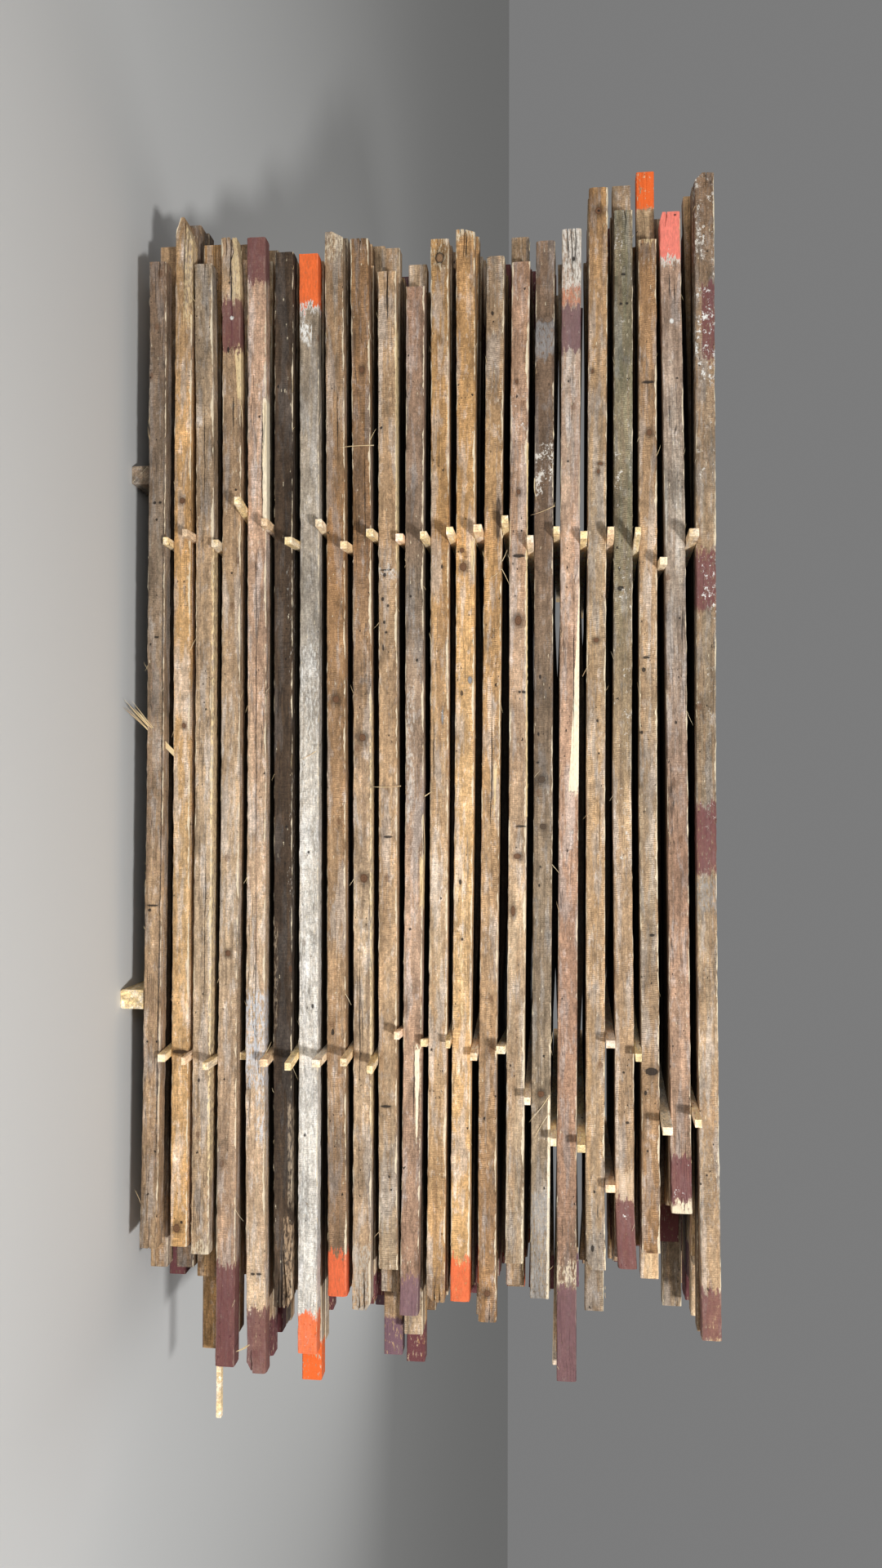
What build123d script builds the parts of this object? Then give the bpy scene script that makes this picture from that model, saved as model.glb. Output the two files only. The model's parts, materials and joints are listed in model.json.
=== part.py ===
from build123d import *
import os
from collections import namedtuple
from random import Random

# A free-standing stack of sawn timbers for air drying. Two bearers lie across the
# floor. Courses of timbers lie along the stack, and two columns of loose stickers keep
# the courses apart. Lengths are millimetres: X along the timbers, Y into the stack from
# its front face, Z up. Courses are numbered from the bottom.

# Timbers
TIMBERS_PER_COURSE = 13
TIMBER_WIDTH = 73.0
WIDTH_SPREAD = 3.0
HEIGHT_SPREAD = 2.0
TIMBER_SPACE = 2.5
ARRIS = 4.0
OUT_OF_SQUARE = 0.05

# Length of the hidden timbers, how far they keep back from the line of sight past the front
# timber, and the ends of the stack that they stay within
SHORTEST = 3850.0
LONGEST = 4450.0
KEEP_BACK = 30.0
EYE_DISTANCE = 4460.0
STACK_LEFT = -2430.0
STACK_RIGHT = 2190.0

# Bearers
BEARER_WIDTH = 76.0
BEARER_HEIGHT_LEFT = 98.0
BEARER_HEIGHT_RIGHT = 93.0
BEARER_X_LEFT = -1345.0
BEARER_X_RIGHT = 757.0
BEARER_FRONT_LEFT = 42.0
BEARER_FRONT_RIGHT = -35.0
BEARER_BACK_OVERHANG = 25.0
BEARER_ARRIS = 6.0

# Stickers
STICKER_WIDTH = 30.0
SEAT = 0.25
BACK_OVERHANG = 20.0
BACK_SPREAD = 90.0

# How far beside a sticker's middle a bent timber stays straight, the share of the set of its
# end that it has half-way there, and the least set that is shaped so
SEAT_REACH = 40.0
HALF_WAY = 0.35
LEAST_SET = 4.0

# Two hidden timbers in each course are crooked. One bows up and the other down, by a share
# of the gap that it bends into, and its ends come the other way by a share of the gap there.
# The bow reaches its full height at BOW_PLACE of the span from either end of it.
ROWS_BOWED_UP = range(2, 6)
ROWS_BOWED_DOWN = range(6, 10)
BOW_SHARE = 0.8
END_SHARE = 0.6
BOW_PLACE = 0.25

# Where the schedule below takes its heights
LEFT_LINE = -1200.0
RIGHT_LINE = 985.0

# One row for each course, from the bottom. height is the timbers' height. gap_left and
# gap_right are the clear heights above the course at the two lines. left and right are
# the ends of the front timber. tip_left and tip_right lift its ends off the straight,
# bow lifts its middle, and forward is how far it stands out of the front face.
Course = namedtuple(
    "Course", "height gap_left gap_right left right tip_left tip_right bow forward"
)
COURSES = [
    Course(71, 21, 32, -2178, 1729, -6, -8, 3, 35),
    Course(71, 22, 16, -2370, 1730, 3, -3, 2, 0),
    Course(75, 30, 25, -2175, 1755, -14, -2, 2, 4),
    Course(78, 28, 37, -2280, 2190, -15, 0, 4, -3),
    Course(78, 27, 31, -2270, 2205, -8, 10, 3, 6),
    Course(76, 30, 27, -2210, 1950, 2, 4, 1, -4),
    Course(79, 26, 33, -2195, 2120, -7, -2, 0, 3),
    Course(76, 28, 27, -2280, 1895, -7, 3, 1, 0),
    Course(75, 29, 25, -2250, 1945, -10, -7, 1, -5),
    Course(75, 31, 21, -2110, 1780, -3, 2, 2, 4),
    Course(74, 26, 25, -2045, 1955, 0, -10, 5, 0),
    Course(73, 28, 18, -2230, 1900, -6, -6, 2, -3),
    Course(76, 33, 28, -2260, 1890, -11, 2, 3, 5),
    Course(71, 26, 36, -2150, 1965, -1, 8, 1, 0),
    Course(71, 26, 25, -2125, 1740, 6, -2, 4, -4),
    Course(74, 26, 24, -2200, 1865, 1, -2, 3, 2),
    Course(76, 27, 32, -2240, 2170, 0, 4, 0, 5),
    Course(74, 26, 36, -2400, 1750, 3, 5, -2, -3),
    Course(73, 22, 25, -2305, 1740, 3, 10, -7, 0),
    Course(70, 27, 37, -2185, 1675, 2, 0, -4, 4),
    Course(79, 38, 27, -2290, 1525, -10, 2, 0, -2),
    Course(76, 0, 0, -2430, 1990, 0, 8, -4, 6),
]

# Stickers above each course: place along the front face, how far the end stands out, and
# the slant from front to back as millimetres to the metre.
Sticker = namedtuple("Sticker", "x out slant")
LEFT_STICKERS = [
    Sticker(-1051, 60, 10),
    Sticker(-1075, 105, -43),
    Sticker(-1040, 40, 50),
    Sticker(-1175, 98, 190),
    Sticker(-1107, 90, 17),
    Sticker(-1037, 130, -99),
    Sticker(-1102, 80, 11),
    Sticker(-1019, 104, -92),
    Sticker(-1062, 117, -91),
    Sticker(-1050, 50, -77),
    Sticker(-1041, 120, -38),
    Sticker(-1051, 110, 21),
    Sticker(-1058, 110, 19),
    Sticker(-1091, 70, 150),
    Sticker(-1010, 70, 190),
    Sticker(-1051, 70, 53),
    Sticker(-1027, 70, 102),
    Sticker(-1030, 80, 200),
    Sticker(-1000, 140, 200),
    Sticker(-929, 110, -72),
    Sticker(-1018, 120, 43),
]
RIGHT_STICKERS = [
    Sticker(972, 66, -95),
    Sticker(979, 89, -46),
    Sticker(996, 110, 13),
    Sticker(985, -45, 30),
    Sticker(978, 76, -89),
    Sticker(969, 120, -141),
    Sticker(969, 120, -18),
    Sticker(957, 120, -60),
    Sticker(980, 120, -75),
    Sticker(870, 90, 63),
    Sticker(905, 45, 150),
    Sticker(891, 55, -160),
    Sticker(932, 60, -190),
    Sticker(920, 70, 97),
    Sticker(1089, 70, -190),
    Sticker(1240, 70, -178),
    Sticker(1252, 85, -200),
    Sticker(876, 70, -86),
    Sticker(916, 70, -190),
    Sticker(1162, 120, -190),
    Sticker(1140, 120, -108),
]

# Ends that show behind the front timber. The key is course and row, row 0 in front.
SHOWN_LEFT = {
    (1, 1): -2290,
    (3, 1): -2290,
    (10, 1): -2240,
    (11, 1): -2165,
    (15, 1): -2255,
    (19, 1): -2440,
    (20, 1): -2490,
}
SHOWN_RIGHT = {
    (1, 1): 1840,
    (1, 4): 1960,
    (2, 1): 1840,
    (3, 1): 1870,
    (3, 2): 2190,
    (7, 1): 2255,
    (10, 1): 1895,
    (10, 2): 2175,
    (11, 1): 2060,
    (11, 2): 2200,
    (14, 1): 1850,
    (15, 1): 1850,
    (15, 2): 1885,
    (18, 1): 1935,
    (20, 1): 1800,
    (21, 4): 1740,
    (21, 6): 2060,
}
# Rows whose ends line up with the front timber, as course and number of rows
FLUSH_LEFT = {22: 7}
FLUSH_RIGHT = {5: 7}

# Corners broken off the ends of front timbers: the course, the end, whether the corner is an
# upper one, how far the break runs along the timber, and how far down or up the end it comes.
Break = namedtuple("Break", "course at_left upper reach depth")
BREAKS = [
    Break(22, True, False, 26, 30),
    Break(13, True, True, 12, 50),
    Break(8, True, True, 24, 44),
    Break(2, True, True, 100, 34),
    Break(2, True, False, 60, 22),
    Break(21, True, False, 40, 12),
    Break(6, False, True, 40, 20),
    Break(5, False, False, 40, 24),
    Break(9, False, True, 30, 18),
    Break(12, False, False, 30, 30),
    Break(18, False, False, 40, 16),
    Break(4, True, True, 120, 14),
]

# A second right sticker lies in the gap above this course
SECOND_COURSE = 18
SECOND_STICKER = Sticker(1426, 50, 30)

# A loose lath lies along the stack in the gap above this course
LATH_COURSE = 3
LATH_ROW = 1
LATH_WIDTH = 28.0
LATH_HEIGHT = 20.0
LATH_START = 1060.0
LATH_LENGTH = 1380.0

ROW_PITCH = TIMBER_WIDTH + TIMBER_SPACE
DEPTH = (TIMBERS_PER_COURSE - 1) * ROW_PITCH + TIMBER_WIDTH
SEED = 22


def along(left_value, right_value, x):
    """The height at x on the straight line through the values at the two lines."""
    share = (x - LEFT_LINE) / (RIGHT_LINE - LEFT_LINE)
    return left_value + (right_value - left_value) * share


def course_levels():
    """The height of each course's underside at the two lines."""
    left, right = BEARER_HEIGHT_LEFT, BEARER_HEIGHT_RIGHT
    levels = []
    for course in COURSES:
        levels.append((left, right))
        left += course.height + course.gap_left
        right += course.height + course.gap_right
    return levels


LEVELS = course_levels()


def underside(number, x):
    """The height of a course's underside at x. Courses count from 1."""
    return along(*LEVELS[number - 1], x)


def topside(number, x):
    return underside(number, x) + COURSES[number - 1].height


def section(width, height, arris):
    """Corners of a timber's section with its arrises taken off, from the middle of its foot."""
    half = width / 2
    return [
        (-half + arris, 0),
        (half - arris, 0),
        (half, arris),
        (half, height - arris),
        (half - arris, height),
        (-half + arris, height),
        (-half, height - arris),
        (-half, arris),
    ]


def cut_end(number, x, row_y, corners, lean, lift=0.0):
    """A section set at x, slightly out of square, and raised by lift."""
    points = []
    for across, up in corners:
        at_x = x + lean * across
        points.append((at_x, row_y + across, underside(number, at_x) + up + lift))
    return Wire.make_polygon(points, close=True)


def straight_timber(number, left, right, row_y, width, height, lean):
    """A plain timber that lies on the stickers below it."""
    start = cut_end(number, left, row_y, section(width, height, ARRIS), lean)
    rise = underside(number, right) - underside(number, left)
    return Solid.extrude(Face(start), Vector(right - left, 0, rise))


def bent_timber(number, stations, row_y, width, height):
    """A timber that passes through stations, each a place along it and its lift there."""
    corners = section(width, height, ARRIS)
    wires = [cut_end(number, x, row_y, corners, 0.0, lift) for x, lift in stations]
    return Solid.make_loft(wires, ruled=True)


def front_timber(number):
    """The timber in the front face, with the corners that are broken off its ends."""
    course = COURSES[number - 1]
    row_y = TIMBER_WIDTH / 2 - course.forward
    outer_left, inner_left, inner_right, outer_right = seats(number, row_y)
    stations = [
        (course.left, course.tip_left),
        (outer_left, 0.0),
        (inner_left, 0.0),
        ((inner_left + inner_right) / 2, course.bow),
        (inner_right, 0.0),
        (outer_right, 0.0),
        (course.right, course.tip_right),
    ]
    if abs(course.tip_left) > LEAST_SET:
        stations.insert(1, ((course.left + outer_left) / 2, course.tip_left * HALF_WAY))
    if abs(course.tip_right) > LEAST_SET:
        stations.insert(-1, ((outer_right + course.right) / 2, course.tip_right * HALF_WAY))
    timber = bent_timber(number, stations, row_y, TIMBER_WIDTH, course.height)
    for chip in BREAKS:
        if chip.course == number:
            timber = timber.cut(broken_corner(course, number, chip)).solids()[0]
    return timber


def crooked_timber(number, left, right, row_y, width, height, side):
    """A hidden timber that bows up where side is 1 and down where it is -1."""
    outer_left, inner_left, inner_right, outer_right = seats(number, row_y)
    step = BOW_PLACE * (inner_right - inner_left)
    stations = [
        (left, shift_into_gap(number, left, -side * END_SHARE)),
        (outer_left, 0.0),
        (inner_left, 0.0),
        (inner_left + step, shift_into_gap(number, inner_left + step, side * BOW_SHARE)),
        (inner_right - step, shift_into_gap(number, inner_right - step, side * BOW_SHARE)),
        (inner_right, 0.0),
        (outer_right, 0.0),
        (right, shift_into_gap(number, right, -side * END_SHARE)),
    ]
    return bent_timber(number, stations, row_y, width, height)


def broken_corner(course, number, chip):
    """The wedge that is missing from the end of a front timber."""
    end, tip, inward = course.right, course.tip_right, -1
    if chip.at_left:
        end, tip, inward = course.left, course.tip_left, 1
    level = underside(number, end) + tip + (course.height if chip.upper else 0)
    down = -1 if chip.upper else 1
    beyond = chip.reach / chip.depth
    y = TIMBER_WIDTH - course.forward + ARRIS
    outline = Wire.make_polygon(
        [
            (end - inward * ARRIS, y, level + down * (chip.depth + ARRIS / beyond)),
            (end + inward * (chip.reach + ARRIS * beyond), y, level - down * ARRIS),
            (end - inward * ARRIS, y, level - down * ARRIS),
        ],
        close=True,
    )
    return Solid.extrude(Face(outline), Vector(0, -TIMBER_WIDTH - 2 * ARRIS, 0))


def seats(number, row_y):
    """The four ends of the two stretches where a course is held, below and above, at a depth."""
    left, right = [], []
    if number == 1:
        left.append(BEARER_X_LEFT)
        right.append(BEARER_X_RIGHT)
    for gap in (number - 1, number):
        if 1 <= gap < len(COURSES):
            left.append(sticker_middle(LEFT_STICKERS[gap - 1], row_y))
            right.append(sticker_middle(RIGHT_STICKERS[gap - 1], row_y))
        if gap == SECOND_COURSE:
            right.append(sticker_middle(SECOND_STICKER, row_y))
    left_ends = (min(left) - SEAT_REACH, max(left) + SEAT_REACH)
    right_ends = (min(right) - SEAT_REACH, max(right) + SEAT_REACH)
    return left_ends + right_ends


def sticker_middle(place, y):
    """The middle of a sticker at a depth."""
    return place.x + place.slant * y / 1000


def clear_above(number, x):
    """The clear height above a course at x. Nothing bends under the first or over the last."""
    if number in (0, len(COURSES)):
        return 0.0
    return underside(number + 1, x) - topside(number, x)


def shift_into_gap(number, x, share):
    """A share of the gap above a course at x, or of the one below it where share is negative."""
    return share * clear_above(number if share > 0 else number - 1, x)


def hidden_ends(number, row, random):
    """Both ends of a timber behind the front one, kept out of the line of sight."""
    course = COURSES[number - 1]
    reach = 1 + row * ROW_PITCH / EYE_DISTANCE
    left_limit = max(course.left * reach + KEEP_BACK, STACK_LEFT)
    right_limit = min(course.right * reach - KEEP_BACK, STACK_RIGHT)
    length = min(random.uniform(SHORTEST, LONGEST), right_limit - left_limit)
    left = random.uniform(left_limit, right_limit - length)
    right = left + length
    if row < FLUSH_LEFT.get(number, 0):
        left = course.left + random.uniform(-8, 8)
    if row < FLUSH_RIGHT.get(number, 0):
        right = course.right + random.uniform(-25, 10)
    return SHOWN_LEFT.get((number, row), left), SHOWN_RIGHT.get((number, row), right)


def course_of_timbers(number, random, crooked_random):
    """One course: the front timber and the rows behind it, none touching another."""
    course = COURSES[number - 1]
    timbers = [front_timber(number)]
    sides = {crooked_random.choice(ROWS_BOWED_UP): 1, crooked_random.choice(ROWS_BOWED_DOWN): -1}
    for row in range(1, TIMBERS_PER_COURSE):
        left, right = hidden_ends(number, row, random)
        width = TIMBER_WIDTH - random.uniform(0, WIDTH_SPREAD)
        height = course.height - random.uniform(0, HEIGHT_SPREAD)
        if (number, row) == (LATH_COURSE, LATH_ROW):
            height = course.height
        lean = random.uniform(-OUT_OF_SQUARE, OUT_OF_SQUARE)
        row_y = TIMBER_WIDTH / 2 + row * ROW_PITCH
        if row in sides:
            timber = crooked_timber(number, left, right, row_y, width, height, sides[row])
        else:
            timber = straight_timber(number, left, right, row_y, width, height, lean)
        timbers.append(timber)
    return timbers


def sticker(number, place, random):
    """A sticker between a course and the next, as thick as the gap where it lies."""
    back = DEPTH + BACK_OVERHANG + random.uniform(0, BACK_SPREAD)
    ends = []
    for y in (-place.out, back):
        middle = sticker_middle(place, y)
        low, high = middle - STICKER_WIDTH / 2, middle + STICKER_WIDTH / 2
        points = [
            (low, y, topside(number, low) + SEAT),
            (high, y, topside(number, high) + SEAT),
            (high, y, underside(number + 1, high) - SEAT),
            (low, y, underside(number + 1, low) - SEAT),
        ]
        ends.append(Wire.make_polygon(points, close=True))
    return Solid.make_loft(ends, ruled=True)


def bearer(x, front):
    """A squared bearer across the stack. Its top follows the underside of the first course."""
    back = DEPTH + BEARER_BACK_OVERHANG
    half = BEARER_WIDTH / 2
    top_low = underside(1, x - half) - SEAT
    top_high = underside(1, x + half) - SEAT
    outline = Wire.make_polygon(
        [
            (x - half + BEARER_ARRIS, front, 0),
            (x + half - BEARER_ARRIS, front, 0),
            (x + half, front, BEARER_ARRIS),
            (x + half, front, top_high),
            (x - half, front, top_low),
            (x - half, front, BEARER_ARRIS),
        ],
        close=True,
    )
    return Solid.extrude(Face(outline), Vector(0, back - front, 0))


def lath():
    """The loose lath, flat on the course below it."""
    row_y = TIMBER_WIDTH / 2 + LATH_ROW * ROW_PITCH
    half = LATH_WIDTH / 2
    foot = [topside(LATH_COURSE, x) + SEAT for x in (LATH_START, LATH_START + LATH_LENGTH)]
    start = Wire.make_polygon(
        [
            (LATH_START, row_y - half, foot[0]),
            (LATH_START, row_y + half, foot[0]),
            (LATH_START, row_y + half, foot[0] + LATH_HEIGHT),
            (LATH_START, row_y - half, foot[0] + LATH_HEIGHT),
        ],
        close=True,
    )
    return Solid.extrude(Face(start), Vector(LATH_LENGTH, 0, foot[1] - foot[0]))


def build():
    """Every node of the stack, by name, as a list of solids."""
    random, crooked_random = Random(SEED), Random(SEED + 1)
    nodes = {
        "bearer_left": [bearer(BEARER_X_LEFT, BEARER_FRONT_LEFT)],
        "bearer_right": [bearer(BEARER_X_RIGHT, BEARER_FRONT_RIGHT)],
    }
    for number in range(1, len(COURSES) + 1):
        nodes[f"course_{number:02d}"] = course_of_timbers(number, random, crooked_random)
    gaps = range(1, len(COURSES))
    nodes["stickers_left"] = [sticker(n, LEFT_STICKERS[n - 1], random) for n in gaps]
    nodes["stickers_right"] = [sticker(n, RIGHT_STICKERS[n - 1], random) for n in gaps]
    nodes["stickers_right"].append(sticker(SECOND_COURSE, SECOND_STICKER, random))
    nodes["loose_lath"] = [lath()]
    return nodes


def centred(nodes):
    """The nodes moved so that the whole stands on the origin at the middle of its box."""
    boxes = [solid.bounding_box() for solids in nodes.values() for solid in solids]
    middle_x = (min(b.min.X for b in boxes) + max(b.max.X for b in boxes)) / 2
    middle_y = (min(b.min.Y for b in boxes) + max(b.max.Y for b in boxes)) / 2
    shift = Location((-middle_x, -middle_y, 0))
    print("moved by", -middle_x, -middle_y)
    return {name: [solid.moved(shift) for solid in solids] for name, solids in nodes.items()}


os.makedirs("parts", exist_ok=True)
for name, solids in centred(build()).items():
    export_step(Compound(solids), f"parts/{name}.step")
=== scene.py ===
import json
import math
from collections import namedtuple
from random import Random

import bpy
import numpy as np
from mathutils import Matrix, Vector

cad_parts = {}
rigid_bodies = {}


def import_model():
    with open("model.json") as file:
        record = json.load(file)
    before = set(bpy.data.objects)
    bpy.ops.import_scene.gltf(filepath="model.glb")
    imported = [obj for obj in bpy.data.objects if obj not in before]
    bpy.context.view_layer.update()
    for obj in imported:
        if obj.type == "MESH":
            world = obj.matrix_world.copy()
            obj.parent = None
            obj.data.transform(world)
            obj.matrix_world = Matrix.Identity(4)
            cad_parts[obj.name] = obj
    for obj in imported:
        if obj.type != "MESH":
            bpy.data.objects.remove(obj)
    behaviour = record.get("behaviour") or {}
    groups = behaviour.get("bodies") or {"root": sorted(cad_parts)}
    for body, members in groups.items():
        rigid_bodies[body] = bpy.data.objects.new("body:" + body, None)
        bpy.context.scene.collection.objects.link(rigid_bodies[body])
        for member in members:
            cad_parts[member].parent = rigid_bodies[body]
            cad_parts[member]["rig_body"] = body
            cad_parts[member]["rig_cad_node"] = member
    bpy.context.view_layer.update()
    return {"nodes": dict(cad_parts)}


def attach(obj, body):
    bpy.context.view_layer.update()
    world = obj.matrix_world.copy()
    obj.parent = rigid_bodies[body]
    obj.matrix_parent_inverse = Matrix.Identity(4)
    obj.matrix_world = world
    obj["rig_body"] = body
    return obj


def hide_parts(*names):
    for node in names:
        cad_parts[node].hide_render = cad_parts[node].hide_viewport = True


# Looks of a free-standing stack of old sawn timbers, kept apart by stickers, on two bearers.
# Lengths are metres: X along the timbers, Y into the stack from its front face, Z up. Courses
# count from the bottom, rows from the front.

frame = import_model()

COURSES = 22
ROWS = 13
# The middles of the front timbers lie before this Y, and those of all others behind it
FRONT_ROW_END = -0.4

# The eye's place, its tilt down and turn to the left in degrees, and its lens in millimetres
EYE = (0.0256, -4.937, 1.753)
PITCH = 6.2
YAW = 1.2
LENS = 26.6
SENSOR = 36.0

# The shader of rough dry wood, and the depth of its relief
ROUGHNESS = 0.82
GLOSS = 0.3
RELIEF = 0.0012
RELIEF_STRENGTH = 0.8

# Colours as a screen shows them in even light, 0 to 255
TONES = {
    "umber": (126, 104, 86),
    "grey_brown": (140, 124, 106),
    "drab": (160, 141, 118),
    "tan": (184, 155, 124),
    "pale_tan": (206, 180, 150),
    "honey": (222, 188, 146),
    "orange_tan": (198, 158, 112),
    "pink_tan": (200, 168, 143),
    "pink_brown": (168, 134, 112),
    "brown": (150, 116, 84),
    "dark_brown": (84, 68, 54),
    "bleached": (220, 213, 202),
    "cream": (232, 216, 186),
    "straw": (236, 212, 164),
    "fresh_wood": (250, 234, 204),
    "ash": (180, 170, 156),
    "green_grey": (126, 119, 96),
    "blue_grey": (146, 147, 148),
    "milk_blue": (206, 214, 224),
    "maroon": (110, 64, 66),
    "maroon_brown": (112, 80, 84),
    "purple": (122, 92, 100),
    "salmon": (244, 132, 116),
    "orange": (244, 110, 48),
    "rust": (192, 104, 62),
    "rust_red": (226, 104, 62),
    "white": (240, 238, 232),
    "soot": (40, 34, 30),
    "knot_brown": (112, 78, 54),
    "peach": (240, 206, 172),
    "pine": (238, 210, 160),
    "floor": (214, 214, 212),
}


def tone(name):
    """A named colour in the linear values that shaders work with."""
    linear = [((c / 255 + 0.055) / 1.055) ** 2.4 for c in TONES[name]]
    return (*linear, 1.0)


class Wiring:
    """A node tree with short ways to add to it. Each way returns what the new node gives out."""

    def __init__(self, tree):
        self.tree = tree

    def link(self, value, socket):
        self.tree.links.new(value, socket)

    def node(self, kind, values, **settings):
        made = self.tree.nodes.new("ShaderNode" + kind)
        for name, value in settings.items():
            setattr(made, name, value)
        for name, value in values.items():
            if isinstance(value, bpy.types.NodeSocket):
                self.link(value, made.inputs[name])
            else:
                made.inputs[name].default_value = value
        return made

    def math(self, operation, a, b=0.0):
        return self.node("Math", {0: a, 1: b}, operation=operation).outputs[0]

    def times(self, a, b):
        return self.math("MULTIPLY", a, b)

    def plus(self, a, b):
        return self.math("ADD", a, b)

    def minus(self, a, b):
        return self.math("SUBTRACT", a, b)

    def inverse(self, value):
        return self.minus(1.0, value)

    def less(self, value, share):
        """1 less a share of a value."""
        return self.inverse(self.times(value, share))

    def product(self, first, *others):
        for other in others:
            first = self.times(first, other)
        return first

    def vector(self, operation, place, by):
        return self.node("VectorMath", {0: place, 1: by}, operation=operation).outputs[0]

    def stretched(self, place, sizes):
        return self.vector("MULTIPLY", place, sizes)

    def moved(self, place, by):
        return self.vector("ADD", place, by)

    def scaled(self, colour, value):
        return self.node("VectorMath", {0: colour, "Scale": value}, operation="SCALE").outputs[0]

    def split(self, place):
        return self.node("SeparateXYZ", {0: place}).outputs

    def point(self, x, y, z):
        return self.node("CombineXYZ", {0: x, 1: y, 2: z}).outputs[0]

    def noise(self, place, detail=3.0, roughness=0.55):
        values = {"Vector": place, "Scale": 1.0, "Detail": detail, "Roughness": roughness}
        return self.node("TexNoise", values).outputs

    def cloud(self, place, sizes, detail=3.0, roughness=0.6):
        """A cloud pattern, with a count of its puffs to the metre along each axis."""
        return self.noise(self.stretched(place, sizes), detail, roughness)["Fac"]

    def waves(self, place, pitch, distortion, **settings):
        """Lines that repeat at a pitch, in metres, and waver by distortion."""
        values = {
            "Vector": place,
            "Scale": 0.314 / pitch,
            "Distortion": distortion,
            "Detail": 2.0,
            "Detail Scale": 0.12,
        }
        return self.node("TexWave", values, **settings).outputs["Fac"]

    def rise(self, value, low, high):
        """0 below low, 1 above high, and smooth between."""
        values = {"Value": value, "From Min": low, "From Max": high}
        return self.node("MapRange", values, interpolation_type="SMOOTHSTEP").outputs[0]

    def between(self, value, start, end, blur):
        """1 from start to end and 0 outside, with blurred edges."""
        begun = self.rise(value, self.minus(start, blur), self.plus(start, blur))
        past = self.rise(value, self.minus(end, blur), self.plus(end, blur))
        return self.times(begun, self.inverse(past))

    def spread(self, value, low, high, to_low, to_high):
        """A value's range from low to high, spread from to_low to to_high."""
        names = ("Value", "From Min", "From Max", "To Min", "To Max")
        values = dict(zip(names, (value, low, high, to_low, to_high)))
        return self.node("MapRange", values).outputs[0]

    def mix(self, share, a, b):
        return self.node("Mix", {0: share, 6: a, 7: b}, data_type="RGBA").outputs[2]

    def retoned(self, colour, saturation, value=1.0):
        values = {"Saturation": saturation, "Value": value, "Color": colour}
        return self.node("HueSaturation", values).outputs[0]

    def ramp(self, value, stops, interpolation="LINEAR"):
        made = self.node("ValToRGB", {0: value})
        made.color_ramp.interpolation = interpolation
        elements = made.color_ramp.elements
        while len(elements) < len(stops):
            elements.new(0.5)
        for element, (place, name) in zip(elements, stops):
            element.position = place
            element.color = tone(name)
        return made.outputs[0]

    def attribute(self, name):
        return self.node("Attribute", {}, attribute_name=name).outputs

    def effect(self, tree, values):
        return self.node("Group", values, node_tree=tree).outputs


def new_effect(name, inputs, outputs):
    """An empty node group's wiring, with what goes in and comes out, named by kind of socket."""
    tree = bpy.data.node_groups.new(name, "ShaderNodeTree")
    for way, kinds in (("INPUT", inputs), ("OUTPUT", outputs)):
        for kind, labels in kinds.items():
            for label in labels.split(", "):
                tree.interface.new_socket(label, in_out=way, socket_type="NodeSocket" + kind)
    taken = tree.nodes.new("NodeGroupInput").outputs
    given = tree.nodes.new("NodeGroupOutput").inputs
    return Wiring(tree), taken, given


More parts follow.
